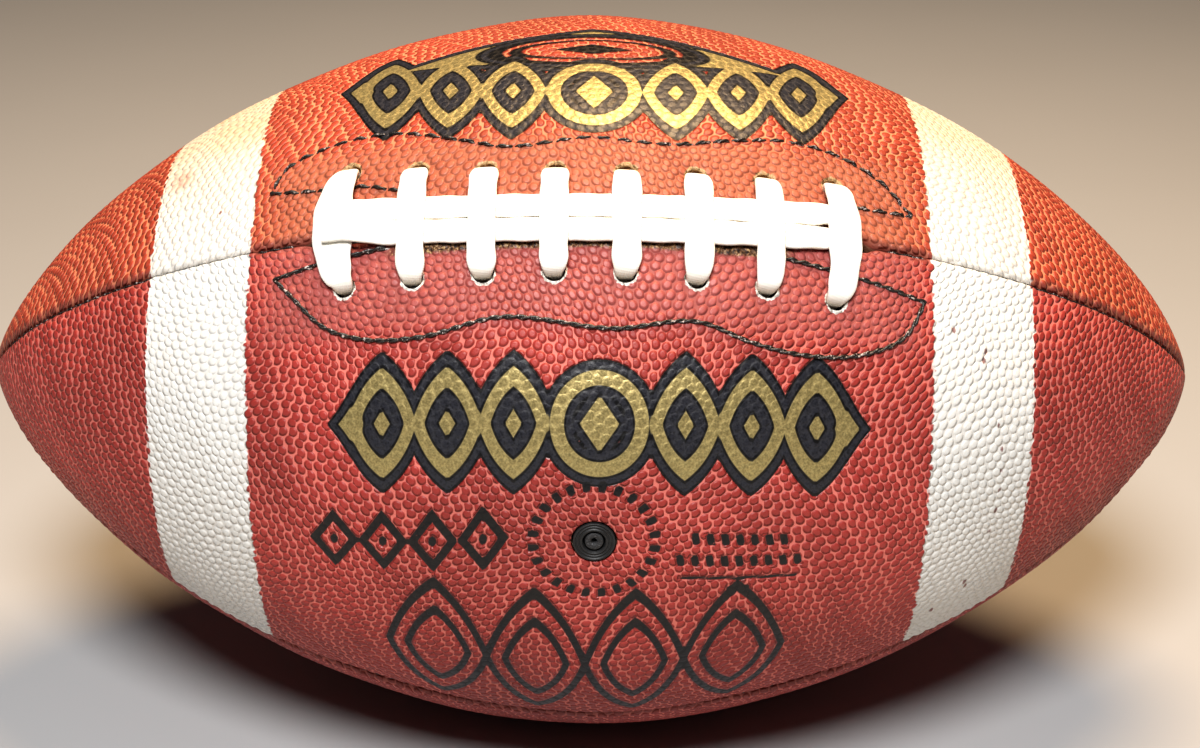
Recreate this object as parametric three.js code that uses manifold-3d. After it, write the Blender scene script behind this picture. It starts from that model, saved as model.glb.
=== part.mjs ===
// Laced leather football: four sewn panels, linings, an inner bladder, a valve, a lace and its stitching.
// Millimetres, +Z up. The long axis runs along X, and the ball rests on the flat spot of its bottom panel.
import * as THREE from 'three';
import { mergeVertices } from 'three/addons/utils/BufferGeometryUtils.js';
import Module from 'manifold-3d';

const wasm = await Module();
wasm.setup();

// ---- Driving dimensions ----
const halfLength = 143; // centre to tip
const halfGirth = 84; // radius at the middle
const taperPower = 1.831; // how early the girth starts to fall towards the tips
const tipBluntness = 0.695; // 0.5 is an ellipse, 1 is a sharp cone
const tipRadius = 0.6; // the panels end this far from the axis
const restFlattening = 1.05; // how far the soft ball is pressed flat where it rests

const seamAngles = { lace: 45, back: 135, under: 225, front: -45 }; // degrees about X, from -Y towards +Z
const leatherThickness = 2.0;
const rollRadius = 2.5; // panel edges roll inwards into the seams
const lipDepth = 5.0; // how deep the sewn lips reach
const lipThickness = 1.8;
const seamHalfGap = 0.15;
const slotHalfLength = 58; // lace opening
const slotHalfWidth = 1.1;

const liningThickness = 0.8;
const layerGap = 0.4;
const facingDepth = 4.4; // facings lie under the linings, along the lace opening
const facingThickness = 0.7;
const facingInnerEdge = 2.6;
const facingMargin = 3.0; // beyond the stitch line
const facingHalfLength = 72;
const bladderThickness = 0.8;
const bladderDepth = { panel: 5.4, seam: 7.0, lace: 10.5 };

const laceWidth = 6.0;
const laceThickness = 1.3;
const crossingCount = 8;
const crossingPitch = 14.55;
const holeDistance = { // from the seam, along the surface, at the left end, middle and right end of the lacing
  lower: [11.2, 11.0, 13.0],
  upper: [15.4, 11.1, 12.7],
};
const holeRadius = 2.7;
const strandWidth = 5.0;
const strandOffset = 2.65; // of each long strand from the strands' common middle line
const strandBow = 2.5; // that line leaves the seam towards the top panel at both ends
const strandHeight = 1.0;
const crossingHeight = 2.6;
const insideHeight = -6.5; // lace runs between the facings and the bladder

const seamThreadRadius = 0.4;
const seamThreadDepth = 0.8;
const stitchRadius = 0.4;
const stitchHeight = 0.66;

const valvePlace = { x: 1.3, angle: -1.4 }; // degrees below the front panel's middle
const valveRadius = 4.4;
const valveHoleRadius = 4.8;
const valveFlangeRadius = 6.6;
const valveFlangeDepth = 4.5;
const valveFlangeThickness = 0.6;
const valveLength = 17;
const valveBoreRadius = 2.3;
const plugRadius = 1.95;

const colours = {
  leather: 0xb5442e, lining: 0xc9b79c, facing: 0xa8794f, bladder: 0x2b2b2d,
  rubber: 0x1c1b1b, lace: 0xf2f0e8, thread: 0x23201f,
};

// ---- Ball surface ----
const axisHeight = halfGirth - restFlattening;
const radians = THREE.MathUtils.degToRad;
const laceAngle = radians(seamAngles.lace);

function radiusAt(x) {
  return halfGirth * (1 - Math.abs(x / halfLength) ** taperPower) ** tipBluntness;
}

function slopeAt(x) {
  const t = Math.abs(x / halfLength);
  const fall = (1 - t ** taperPower) ** (tipBluntness - 1) * t ** (taperPower - 1);
  return (-halfGirth * tipBluntness * taperPower * fall * Math.sign(x)) / halfLength;
}

// The point at a depth under the ball's surface, square to it. The resting flat cuts every layer alike.
function surfacePoint(x, angle, depth) {
  const slope = slopeAt(x);
  const scale = depth / Math.hypot(1, slope);
  const r = radiusAt(x) - scale;
  const z = Math.max(r * Math.sin(angle), -axisHeight + depth);
  return new THREE.Vector3(x + scale * slope, -r * Math.cos(angle), axisHeight + z);
}

// A point near the lace: s is the distance from the lace seam along the surface, h the height above it.
function nearLace(x, s, h) {
  return surfacePoint(x, laceAngle + s / radiusAt(x), -h);
}

const endX = halfLength * (1 - (tipRadius / halfGirth) ** (1 / tipBluntness)) ** (1 / taperPower);
const shellSteps = [
  0, 11, 26, 42, slotHalfLength - 1, slotHalfLength + 1, 76, 94, 110, 124, 134, 140.5, endX,
];
const liningSteps = [0, 14, 32, 50, 72, 98, 122, 137];
const bladderSteps = [0, 14, 32, 50, 72, 98, 120, 132, 137];

function mirrored(steps) {
  return [...steps.slice(1).map((x) => -x).reverse(), ...steps];
}

// ---- Solids ----
function toSolid(vertices, triangles) {
  const geometry = new THREE.BufferGeometry();
  const numbers = vertices.flatMap((vertex) => vertex.toArray());
  geometry.setAttribute('position', new THREE.Float32BufferAttribute(numbers, 3));
  let volume = 0;
  for (const [a, b, c] of triangles) {
    volume += vertices[a].dot(new THREE.Vector3().crossVectors(vertices[b], vertices[c]));
  }
  geometry.setIndex(triangles.flatMap((t) => (volume < 0 ? [t[0], t[2], t[1]] : t)));
  geometry.computeVertexNormals();
  return geometry;
}

// Skins equal rings of points into one closed body. The outline is the ring's shape, for its two end caps.
function loft(rings, outlines) {
  const n = rings[0].length;
  const triangles = [];
  for (let i = 0; i + 1 < rings.length; i += 1) {
    for (let j = 0; j < n; j += 1) {
      const [a, b] = [i * n + j, i * n + ((j + 1) % n)];
      triangles.push([a, b, b + n], [a, b + n, a + n]);
    }
  }
  const capAt = (outline, start, reversed) => {
    const flat = outline.map(([u, v]) => new THREE.Vector2(u, v));
    const ringTurn = Math.sign(THREE.ShapeUtils.area(flat));
    for (const [a, b, c] of THREE.ShapeUtils.triangulateShape([...flat], [])) {
      const sameTurn = Math.sign(THREE.ShapeUtils.area([flat[a], flat[b], flat[c]])) === ringTurn;
      const face = sameTurn !== reversed ? [a, b, c] : [a, c, b];
      triangles.push(face.map((k) => k + start));
    }
  };
  capAt(outlines[0], 0, true);
  capAt(outlines[1], (rings.length - 1) * n, false);
  return toSolid(rings.flat(), triangles);
}

function toManifold(geometry) {
  const bare = geometry.clone();
  bare.deleteAttribute('normal');
  bare.deleteAttribute('uv');
  const merged = mergeVertices(bare, 1e-4);
  return new wasm.Manifold(new wasm.Mesh({
    numProp: 3,
    vertProperties: new Float32Array(merged.attributes.position.array),
    triVerts: new Uint32Array(merged.index.array),
  }));
}

function cutHoles(geometry, tools) {
  const cut = tools.reduce((solid, tool) => solid.subtract(toManifold(tool)), toManifold(geometry));
  const mesh = cut.getMesh();
  const result = new THREE.BufferGeometry();
  result.setAttribute('position', new THREE.BufferAttribute(new Float32Array(mesh.vertProperties), 3));
  result.setIndex(new THREE.BufferAttribute(new Uint32Array(mesh.triVerts), 1));
  result.computeVertexNormals();
  return result;
}

// A round punch along the ball's surface normal.
function punch(x, angle, radius, sides) {
  const outside = surfacePoint(x, angle, -6);
  const inside = surfacePoint(x, angle, 14);
  const along = new THREE.Vector3().subVectors(outside, inside);
  const tool = new THREE.CylinderGeometry(radius, radius, along.length(), sides);
  const up = new THREE.Vector3(0, 1, 0);
  const turn = new THREE.Quaternion().setFromUnitVectors(up, along.clone().normalize());
  const middle = new THREE.Vector3().addVectors(outside, inside).multiplyScalar(0.5);
  return tool.applyMatrix4(new THREE.Matrix4().compose(middle, turn, new THREE.Vector3(1, 1, 1)));
}

// ---- Leather panels and their linings ----
const panels = {
  front: { middle: 0, laceSide: 1 },
  top: { middle: 90, laceSide: -1 },
  rear: { middle: 180, laceSide: 0 },
  bottom: { middle: 270, laceSide: 0 },
};
const acrossParts = [-1, -2 / 3, -1 / 3, 0, 1 / 3, 2 / 3, 1];
const bottomParts = [-1, -0.58, -0.145, 0, 0.145, 0.58, 1]; // a strip as wide as the resting flat

function edgeAt(x, onLaceSide) {
  const open = onLaceSide && Math.abs(x) < slotHalfLength;
  const width = (radiusAt(x) * Math.PI) / 4 - (open ? slotHalfWidth : seamHalfGap);
  const shallow = leatherThickness + 0.3;
  const lip = open ? shallow : shallow + (lipDepth - shallow) * Math.min(1, radiusAt(x) / 30);
  return { width, lip, roll: Math.min(rollRadius, 0.5 * width), thick: Math.min(lipThickness, 0.55 * width) };
}

// A panel's section: a curved sheet whose two edges roll inwards into lips. [distance, depth] pairs.
function panelOutline(x, panel, parts) {
  const low = edgeAt(x, panel.laceSide < 0);
  const high = edgeAt(x, panel.laceSide > 0);
  const between = (start, end) => parts.slice(1, -1).map((part) => start + ((part + 1) / 2) * (end - start));
  const corner = (edge, side) => [
    [side * edge.width, edge.roll], [side * (edge.width - 0.29 * edge.roll), 0.29 * edge.roll],
    [side * (edge.width - edge.roll), 0],
  ];
  const outer = between(low.roll - low.width, high.width - high.roll).map((s) => [s, 0]);
  const inner = between(low.thick - low.width, high.width - high.thick)
    .map((s) => [s, leatherThickness]).reverse();
  return [
    ...corner(low, -1), ...outer, ...corner(high, 1).reverse(),
    [high.width, high.lip], [high.width - high.thick, high.lip], [high.width - high.thick, leatherThickness],
    ...inner,
    [-low.width + low.thick, leatherThickness], [-low.width + low.thick, low.lip], [-low.width, low.lip],
  ];
}

function liningOutline(x, panel, parts) {
  const edge = edgeAt(x, false);
  const reach = edge.width - edge.thick - layerGap;
  const start = -reach + (panel.laceSide < 0 ? slotHalfWidth : 0);
  const end = reach - (panel.laceSide > 0 ? slotHalfWidth : 0);
  const top = leatherThickness + layerGap;
  const line = parts.map((part) => start + ((part + 1) / 2) * (end - start));
  return [...line.map((s) => [s, top]), ...line.map((s) => [s, top + liningThickness]).reverse()];
}

function sheet(panel, steps, outlineAt) {
  const parts = panel === panels.bottom ? bottomParts : acrossParts;
  const middle = radians(panel.middle);
  const stations = mirrored(steps);
  const outlines = stations.map((x) => outlineAt(x, panel, parts));
  const rings = stations.map((x, i) => outlines[i].map(
    ([s, d]) => surfacePoint(x, middle + s / radiusAt(x), d),
  ));
  return loft(rings, [outlines[0], outlines[outlines.length - 1]]);
}

// ---- Lace holes ----
function crossingX(k) {
  return (k - (crossingCount - 1) / 2) * crossingPitch;
}

// side is -1 for the lower row of holes and 1 for the upper row.
function holeOffset(x, side) {
  const [left, middle, right] = side < 0 ? holeDistance.lower : holeDistance.upper;
  const t = x / crossingX(crossingCount - 1);
  return middle + ((left + right) / 2 - middle) * t * t + ((right - left) / 2) * t;
}

function strandMiddle(x) {
  return strandBow * (x / crossingX(0)) ** 2;
}

const crossings = Array.from({ length: crossingCount }, (_, k) => crossingX(k));
const strandStart = { x: -53.5, radius: 2.4 }; // where the lace comes up to start its long strands

function holePunches(side, radius, sides) {
  const punches = crossings.map(
    (x) => punch(x, laceAngle + (side * holeOffset(x, side)) / radiusAt(x), radius, sides),
  );
  if (side > 0) {
    const { x } = strandStart;
    const s = strandMiddle(x) + strandOffset;
    punches.push(punch(x, laceAngle + s / radiusAt(x), strandStart.radius + radius - holeRadius, sides));
  }
  return punches;
}

const leatherHoles = { radius: holeRadius, sides: 8 };
const backingHoles = { radius: holeRadius + 0.7, sides: 6 }; // in the linings and facings

function panelPunches(panel, { radius, sides }) {
  if (panel === panels.front) {
    const valveHole = punch(valvePlace.x, radians(valvePlace.angle), valveHoleRadius, 12);
    return [...holePunches(-1, radius, sides), valveHole];
  }
  return panel === panels.top ? holePunches(1, radius, sides) : [];
}

// ---- Facings: reinforcing strips along the lace opening ----
// Each stitch line runs out from the lace, round the facing's outer edge and back: [x, distance from the seam].
const stitching = {
  lower: {
    left: [[-44, 4.1], [-48, 4.6], [-57, 5.8]],
    outer: [
      [-66, 7.5], [-61.5, 12.5], [-54.5, 19.5], [-45.5, 23], [-34.5, 23.5], [-19, 20.5], [5, 23], [23, 21],
      [32.5, 24], [43, 25.5], [55.5, 24], [65.5, 18.5], [70, 10.5],
    ],
    right: [[59, 8.4], [48, 6.8], [39, 5.6]],
  },
  upper: {
    left: [[-41.5, 9.6], [-46, 11], [-58, 12]],
    outer: [
      [-68.5, 13.5], [-65, 20], [-57, 23.5], [-44, 25], [-26, 20.5], [-19.5, 18.5], [0, 20], [16, 19],
      [31.5, 22], [41, 23.3], [52.5, 21.5], [61.5, 16.5], [68, 9],
    ],
    right: [[60, 8.6], [52, 8.4]],
  },
};

// The distance from the seam to a stitch line's outer edge at x.
function stitchEdge(x, line) {
  const [first, last] = [line[0], line[line.length - 1]];
  if (x <= first[0]) return first[1];
  if (x >= last[0]) return last[1];
  const next = line.findIndex((point) => point[0] > x);
  const [[xa, sa], [xb, sb]] = [line[next - 1], line[next]];
  return sa + ((sb - sa) * (x - xa)) / (xb - xa);
}

function facing(side) {
  const { outer: line } = side < 0 ? stitching.lower : stitching.upper;
  const stations = mirrored([0, 12, 24, 36, 48, 60, facingHalfLength]);
  const parts = [0, 0.25, 0.5, 0.75, 1];
  const outlines = stations.map((x) => {
    const outer = stitchEdge(x, line) + facingMargin;
    const width = parts.map((part) => side * (facingInnerEdge + part * (outer - facingInnerEdge)));
    const back = [...width].reverse().map((s) => [s, facingDepth + facingThickness]);
    return [...width.map((s) => [s, facingDepth]), ...back];
  });
  const rings = stations.map((x, i) => outlines[i].map(([s, d]) => nearLace(x, s, -d)));
  return loft(rings, [outlines[0], outlines[outlines.length - 1]]);
}

// ---- Bladder: a hollow rubber skin, open where the valve passes ----
function bladderDepthAt(x, degrees) {
  const nearSeam = Math.abs((((degrees - seamAngles.lace) % 90) + 90) % 90 - 45) / 45;
  const atLace = degrees === seamAngles.lace && Math.abs(x) < 80;
  if (atLace) return bladderDepth.lace;
  return bladderDepth.panel + (bladderDepth.seam - bladderDepth.panel) * nearSeam;
}

function bladder() {
  const angles = Array.from({ length: 16 }, (_, i) => i * 22.5);
  const last = bladderSteps[bladderSteps.length - 1];
  const skin = (extra) => mirrored([...bladderSteps.slice(0, -1), last - extra]).map((x) => angles.map(
    (a) => surfacePoint(x, radians(a), bladderDepthAt(x, a) + extra),
  ));
  const outline = angles.map((a) => [Math.cos(radians(a)), Math.sin(radians(a))]);
  const outer = loft(skin(0), [outline, outline]);
  const inner = loft(skin(bladderThickness), [outline, outline]);
  return cutHoles(outer, [inner, punchDeep()]);
}

function punchDeep() {
  const depth = 22;
  const tool = new THREE.CylinderGeometry(valveHoleRadius, valveHoleRadius, depth, 12);
  return toValve(tool.translate(0, depth / 2, 0));
}

// ---- Valve ----
// Moves a piece from the origin to the valve: its -Y side faces out of the ball.
function toValve(geometry) {
  geometry.translate(0, -halfGirth, 0);
  return geometry.rotateX(-radians(valvePlace.angle)).translate(valvePlace.x, 0, axisHeight);
}

function turned(profile, sides) {
  const points = profile.map(([r, depth]) => new THREE.Vector2(r, -depth));
  const geometry = mergeVertices(bareGeometry(new THREE.LatheGeometry(points, sides)), 1e-4);
  toValve(geometry.rotateX(Math.PI));
  geometry.computeVertexNormals();
  return geometry;
}

function bareGeometry(geometry) {
  geometry.deleteAttribute('normal');
  geometry.deleteAttribute('uv');
  return geometry;
}

function valveHousing() {
  const flangeBack = valveFlangeDepth + valveFlangeThickness;
  return turned([
    [valveBoreRadius, valveLength], [valveRadius, valveLength], [valveRadius, flangeBack],
    [valveFlangeRadius, flangeBack], [valveFlangeRadius, valveFlangeDepth], [valveRadius, valveFlangeDepth],
    [valveRadius, 0.9], [valveRadius - 0.5, 0.4], [valveBoreRadius, 0.4], [valveBoreRadius, valveLength],
  ], 16);
}

function valvePlug() {
  return turned([
    [0, valveLength - 2], [plugRadius, valveLength - 2], [plugRadius, 0.7], [plugRadius - 0.4, 0.4],
    [0.6, 0.4], [0, 1.2],
  ], 12);
}

// ---- Lace: one flat cord. Each route point is [x, s, h, across, width, thickness]. ----
// across is 0 where the cord's width lies along X and 1 where it lies round the ball.
const holeWidth = 3.6;
const holeThick = 1.5;

function crossingRoute(x) {
  const [low, high] = [-holeOffset(x, -1), holeOffset(x, 1)];
  const middle = strandMiddle(x);
  const isEnd = Math.abs(x) > crossingX(crossingCount - 2) + 1;
  const bulge = isEnd ? (x < 0 ? 2.0 : 1.0) : 0; // the end crossings are pushed outwards
  const spread = isEnd ? (x < 0 ? 3.2 : 1.4) : 0; // and lie flatter there
  const over = x < 0 && isEnd ? 1.85 : crossingHeight;
  const at = (s, h, width = laceWidth) => {
    const bow = 1 - (s / (s < 0 ? low : high)) ** 2;
    return [x + Math.sign(x) * bulge * bow, s, h, 0, width + spread * bow * bow, laceThickness];
  };
  const through = (s, h) => [x, s, h, 0, holeWidth, holeThick];
  return [
    through(high, -5.7), through(high, -3), through(high, -0.6), [x, high - 0.5, 0.7, 0, 4.4, 1.4],
    at(high - 1.8, 1.5, 5.0), at(high - 4.2, 2.2), at(middle + 3.4, crossingHeight),
    at(middle + 0.6, crossingHeight), at(middle - 2.4, (crossingHeight + over) / 2), at(middle - 5.0, over),
    at(low + 4.2, Math.min(over, 2.2)), at(low + 1.8, 1.5, 5.0),
    [x, low + 0.5, 0.7, 0, 4.4, 1.4], through(low, -0.6), through(low, -3), through(low, -5.7),
  ];
}

// Under the facings, from one crossing's lower hole to the next one's upper hole, cutting both corners.
function insideRoute(from, to) {
  const [xa, sa] = from;
  const [xb, sb] = to;
  return [0.14, 0.5, 0.86].map((t) => [
    xa + (xb - xa) * t, sa + (sb - sa) * t, insideHeight, 0, laceWidth - 1.2, 1.1,
  ]);
}

// The cord's width turns with it at the end, so the lower strand lies the other way round.
function strandPoint(x, side, h) {
  return [x, strandMiddle(x) + side * strandOffset, h, side, strandWidth, laceThickness];
}

function laceRoute() {
  const route = [];
  const order = [...crossings].reverse();
  order.forEach((x, i) => {
    route.push(...crossingRoute(x));
    if (i + 1 < order.length) {
      route.push(...insideRoute([x, -holeOffset(x, -1)], [order[i + 1], holeOffset(order[i + 1], 1)]));
    }
  });
  const up = strandMiddle(strandStart.x) + strandOffset;
  const [x0, s0] = [crossingX(0), -holeOffset(crossingX(0), -1)];
  route.push(
    [x0 - 0.3, s0 + 1.5, insideHeight + 0.2, 0, 3.8, 1.2], [x0 - 1, s0 + 5, insideHeight, 0, 4.0, 1.2],
    [strandStart.x + 0.2, up - 5, insideHeight, 0, 3.4, 1.3],
    [strandStart.x, up - 1.4, insideHeight + 0.3, 0, 3.0, 1.3],
    [strandStart.x, up, insideHeight + 1.8, 0.1, 2.8, 1.5], [strandStart.x, up, -2.6, 0.5, 2.8, 1.5],
    [strandStart.x, up, -1.0, 0.9, 2.8, 1.5], [strandStart.x + 0.6, up, 0.35, 1, 3.0, 1.4],
    [strandStart.x + 2.4, up - 0.1, strandHeight, 1, 4.2, laceThickness],
  );
  const right = 49.4;
  const stops = [-47, -37, -27, -16, -5, 5, 16, 27, 37, 45];
  route.push(...stops.map((x) => strandPoint(x, 1, strandHeight)));
  route.push(...[90, 60, 30, 0, -30, -60, -90].map((degrees) => {
    const a = radians(degrees);
    const s = strandMiddle(right) + strandOffset * Math.sin(a);
    return [right + strandOffset * Math.cos(a), s, strandHeight, 1, 4.7, laceThickness, degrees];
  }));
  route.push(...[...stops].reverse().slice(0, -1).map((x) => strandPoint(x, -1, strandHeight)));
  route.push(
    strandPoint(-43.5, -1, strandHeight + 0.2), strandPoint(-46.2, -1, 2.5), strandPoint(-48.6, -1, 3.4),
    strandPoint(-52, -1, 3.5), strandPoint(-54.2, -1, 3.45),
  );
  return route;
}

// Sweeps the cord's flat six-sided section along the route, keeping its width in the stated direction.
function flatCord(route) {
  const centres = route.map(([x, s, h]) => nearLace(x, s, h));
  const section = [[0.5, 0], [0.38, 0.5], [-0.38, 0.5], [-0.5, 0], [-0.38, -0.5], [0.38, -0.5]];
  const rings = route.map(([x, s, h, across, width, thickness, turn], i) => {
    const before = centres[Math.max(i - 1, 0)];
    const after = centres[Math.min(i + 1, centres.length - 1)];
    const tangent = new THREE.Vector3().subVectors(after, before).normalize();
    const alongX = nearLace(x + 0.5, s, h).sub(nearLace(x - 0.5, s, h)).normalize();
    const round = nearLace(x, s + 0.5, h).sub(nearLace(x, s - 0.5, h)).normalize();
    const angle = turn === undefined ? (across * Math.PI) / 2 : radians(turn);
    const wide = alongX.multiplyScalar(Math.cos(angle)).addScaledVector(round, Math.sin(angle));
    wide.addScaledVector(tangent, -wide.dot(tangent)).normalize();
    const flat = new THREE.Vector3().crossVectors(tangent, wide);
    return section.map(([u, v]) => centres[i].clone()
      .addScaledVector(wide, u * width).addScaledVector(flat, v * thickness));
  });
  return loft(rings, [section, section]);
}

// ---- Threads ----
function roundThread(points, radius, steps, sides) {
  const shape = new THREE.Shape(Array.from({ length: sides }, (_, i) => {
    const a = (i / sides) * Math.PI * 2;
    return new THREE.Vector2(radius * Math.cos(a), radius * Math.sin(a));
  }));
  const path = new THREE.CatmullRomCurve3(points, false, 'centripetal');
  return new THREE.ExtrudeGeometry(shape, { steps, extrudePath: path, curveSegments: 1 });
}

function seamThread(degrees, from, to, steps) {
  const points = Array.from({ length: 25 }, (_, i) => {
    const x = halfLength * Math.sin(from + ((to - from) * i) / 24);
    return surfacePoint(x, radians(degrees), seamThreadDepth);
  });
  return roundThread(points, seamThreadRadius, steps, 5);
}

function stitchRoute(side) {
  const { left, outer, right } = side < 0 ? stitching.lower : stitching.upper;
  return [...left, ...outer, ...right].map(([x, s]) => nearLace(x, side * s, stitchHeight));
}

// ---- Assembly ----
const football = new THREE.Group();
football.name = 'football';

function add(name, geometry, colour, roughness) {
  const material = new THREE.MeshStandardMaterial({ color: colour, roughness, metalness: 0 });
  const mesh = new THREE.Mesh(geometry, material);
  mesh.name = name;
  football.add(mesh);
}

for (const [name, panel] of Object.entries(panels)) {
  const leather = cutHoles(sheet(panel, shellSteps, panelOutline), panelPunches(panel, leatherHoles));
  const lining = cutHoles(sheet(panel, liningSteps, liningOutline), panelPunches(panel, backingHoles));
  add(`${name}_panel`, leather, colours.leather, 0.6);
  add(`${name}_lining`, lining, colours.lining, 0.9);
}
for (const [name, side] of [['lower', -1], ['upper', 1]]) {
  const punches = holePunches(side, backingHoles.radius, backingHoles.sides);
  add(`${name}_facing`, cutHoles(facing(side), punches), colours.facing, 0.85);
}
add('bladder', bladder(), colours.bladder, 0.7);
add('valve_housing', valveHousing(), colours.rubber, 0.7);
add('valve_plug', valvePlug(), colours.rubber, 0.8);
add('lace', flatCord(laceRoute()), colours.lace, 0.55);

const seamEnd = Math.asin(138 / halfLength); // the threads are tied off just short of the tips
const slotEnd = Math.asin((slotHalfLength + 5) / halfLength);
for (const name of ['back', 'under', 'front']) {
  add(`${name}_seam_thread`, seamThread(seamAngles[name], -seamEnd, seamEnd, 22), colours.thread, 0.7);
}
add('left_lace_seam_thread', seamThread(seamAngles.lace, -seamEnd, -slotEnd, 9), colours.thread, 0.7);
add('right_lace_seam_thread', seamThread(seamAngles.lace, slotEnd, seamEnd, 9), colours.thread, 0.7);
add('lower_facing_stitches', roundThread(stitchRoute(-1), stitchRadius, 52, 4), colours.thread, 0.7);
add('upper_facing_stitches', roundThread(stitchRoute(1), stitchRadius, 52, 4), colours.thread, 0.7);

export default football;
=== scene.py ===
"""A laced leather football: pebbled panels, painted stripe bands, foil ornament, stitching, lace and valve.

Lengths inside the shape functions are in millimetres. The long axis runs along X and +Z is up. A place on the
ball is given by x, by an angle about X (0 at -Y, 90 degrees at +Z) and by a depth under the surface.
"""

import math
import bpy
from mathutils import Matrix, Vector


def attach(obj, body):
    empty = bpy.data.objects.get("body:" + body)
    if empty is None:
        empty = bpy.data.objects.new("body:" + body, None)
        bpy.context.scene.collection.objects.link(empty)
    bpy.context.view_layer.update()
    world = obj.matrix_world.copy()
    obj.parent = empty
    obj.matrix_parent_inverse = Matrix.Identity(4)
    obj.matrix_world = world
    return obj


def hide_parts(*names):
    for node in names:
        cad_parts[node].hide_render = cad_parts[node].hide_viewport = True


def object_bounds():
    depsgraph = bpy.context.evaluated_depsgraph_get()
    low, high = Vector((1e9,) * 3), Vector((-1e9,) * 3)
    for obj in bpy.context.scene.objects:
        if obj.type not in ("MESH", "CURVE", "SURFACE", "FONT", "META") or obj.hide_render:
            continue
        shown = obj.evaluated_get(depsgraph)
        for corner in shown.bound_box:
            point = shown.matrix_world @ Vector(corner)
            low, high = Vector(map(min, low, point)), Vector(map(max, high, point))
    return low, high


bl_info = {
    "name": "Laced Football",
    "version": (1, 0, 0),
    "blender": (4, 5, 0),
    "location": "3D View > Sidebar > Football",
    "description": "Builds a laced leather football with its stitching, marks and studio",
    "category": "Add Mesh",
}

import bpy
import numpy as np
from bpy.props import FloatProperty, FloatVectorProperty, IntProperty, PointerProperty
from mathutils import Matrix, Vector

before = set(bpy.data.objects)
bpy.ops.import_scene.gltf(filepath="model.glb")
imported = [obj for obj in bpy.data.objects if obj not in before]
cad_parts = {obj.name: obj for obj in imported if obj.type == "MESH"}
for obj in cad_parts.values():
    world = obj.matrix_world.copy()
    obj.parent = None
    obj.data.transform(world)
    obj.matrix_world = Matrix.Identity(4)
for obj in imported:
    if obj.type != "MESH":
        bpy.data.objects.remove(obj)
CAD_BOX = [list(corner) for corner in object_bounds()]

MM = 0.001
BALL_TOP = CAD_BOX[1][2] / MM
HALF_GIRTH = CAD_BOX[1][1] / MM  # the rear panel's middle is where the ball is widest
AXIS_HEIGHT = BALL_TOP - HALF_GIRTH
TAPER_POWER = 1.831
TIP_BLUNTNESS = 0.695
LACE_ANGLE = math.radians(45)


# ---- Sizes and colours that a user may change ----
def length(name, description, default):
    return FloatProperty(name=name, description=description, default=default * MM, unit="LENGTH", precision=4)


def lengths(name, description, defaults):
    return FloatVectorProperty(
        name=name, description=description, default=[value * MM for value in defaults], size=len(defaults),
        unit="LENGTH", precision=4,
    )


def colour(name, description, default):
    return FloatVectorProperty(
        name=name, description=description, default=default, size=3, min=0, max=1, subtype="COLOR"
    )


class BallSizes(bpy.types.PropertyGroup):
    half_length: length("Half length", "Centre of the ball to its tip", 143.0)
    leather: length("Leather thickness", "Thickness of a panel", 2.0)
    roll: length("Edge roll", "Radius of a panel's rolled edge", 2.1)
    lip: length("Lip depth", "Depth of the lips sewn together inside", 5.0)
    lip_thickness: length("Lip thickness", "Thickness of each sewn lip", 1.8)
    seam_gap: length("Seam half gap", "Half the gap between two sewn lips", 0.06)
    slot_half_length: length("Opening half length", "Half the length of the lace opening", 58.0)
    slot_half_width: length("Opening half width", "Half the width of the lace opening", 1.1)
    pebble_pitch: length("Pebble pitch", "Distance between neighbouring pebbles", 2.15)
    pebble_height: length("Pebble height", "Height of the pebbles", 0.17)
    stripe_inner: length("Stripe inner edge", "Distance of the stripe's inner edge from the middle", 72.1)
    stripe_outer: length("Stripe outer edge", "Distance of the stripe's outer edge from the middle", 95.9)


class LaceSizes(bpy.types.PropertyGroup):
    width: length("Lace width", "Width of a crossing", 6.0)
    thickness: length("Lace thickness", "Thickness of the flat cord", 1.3)
    crossings: IntProperty(name="Crossings", description="Number of short crossings", default=8, min=2)
    pitch: length("Crossing pitch", "Distance between neighbouring crossings", 14.55)
    lower_holes: lengths("Lower holes", "From the seam, at the left, middle and right", (11.2, 11.0, 13.0))
    upper_holes: lengths("Upper holes", "From the seam, at the left, middle and right", (15.4, 11.1, 12.7))
    hole_radius: length("Hole radius", "Radius of a lace hole", 2.3)
    strand_width: length("Strand width", "Width of each long strand", 5.22)
    strand_offset: length("Strand offset", "Each strand's distance from their middle line", 2.65)
    strand_bow: length("Strand bow", "How far the strands leave the seam at both ends", 2.5)


class BallColours(bpy.types.PropertyGroup):
    dome: colour("Pebble tops", "Colour of the leather's pebbles", (0.315, 0.038, 0.031))
    net: colour("Between pebbles", "Colour of the leather between its pebbles", (0.62, 0.170, 0.138))
    paint: colour("Stripe paint", "Colour of the painted stripes", (0.70, 0.695, 0.67))
    foil: colour("Foil", "Colour of the gold foil ornament", (0.42, 0.34, 0.15))
    ink: colour("Ink", "Colour of the black ink", (0.005, 0.005, 0.006))
    lace: colour("Lace", "Colour of the lace", (0.86, 0.845, 0.79))
    thread: colour("Thread", "Colour of the stitching thread", (0.012, 0.011, 0.010))
    floor: colour("Floor", "Colour of the studio floor", (0.41, 0.415, 0.42))


def sizes():
    return bpy.context.scene.football_sizes


def lace_sizes():
    return bpy.context.scene.football_lace


def colours():
    return bpy.context.scene.football_colours


# ---- The ball's surface ----
def radius_at(x):
    """Girth radius: half girth times (1 - |x / half length| ^ taper) ^ bluntness."""
    t = np.abs(x) * MM / sizes().half_length
    return HALF_GIRTH * np.clip(1 - t**TAPER_POWER, 0, 1) ** TIP_BLUNTNESS


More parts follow.
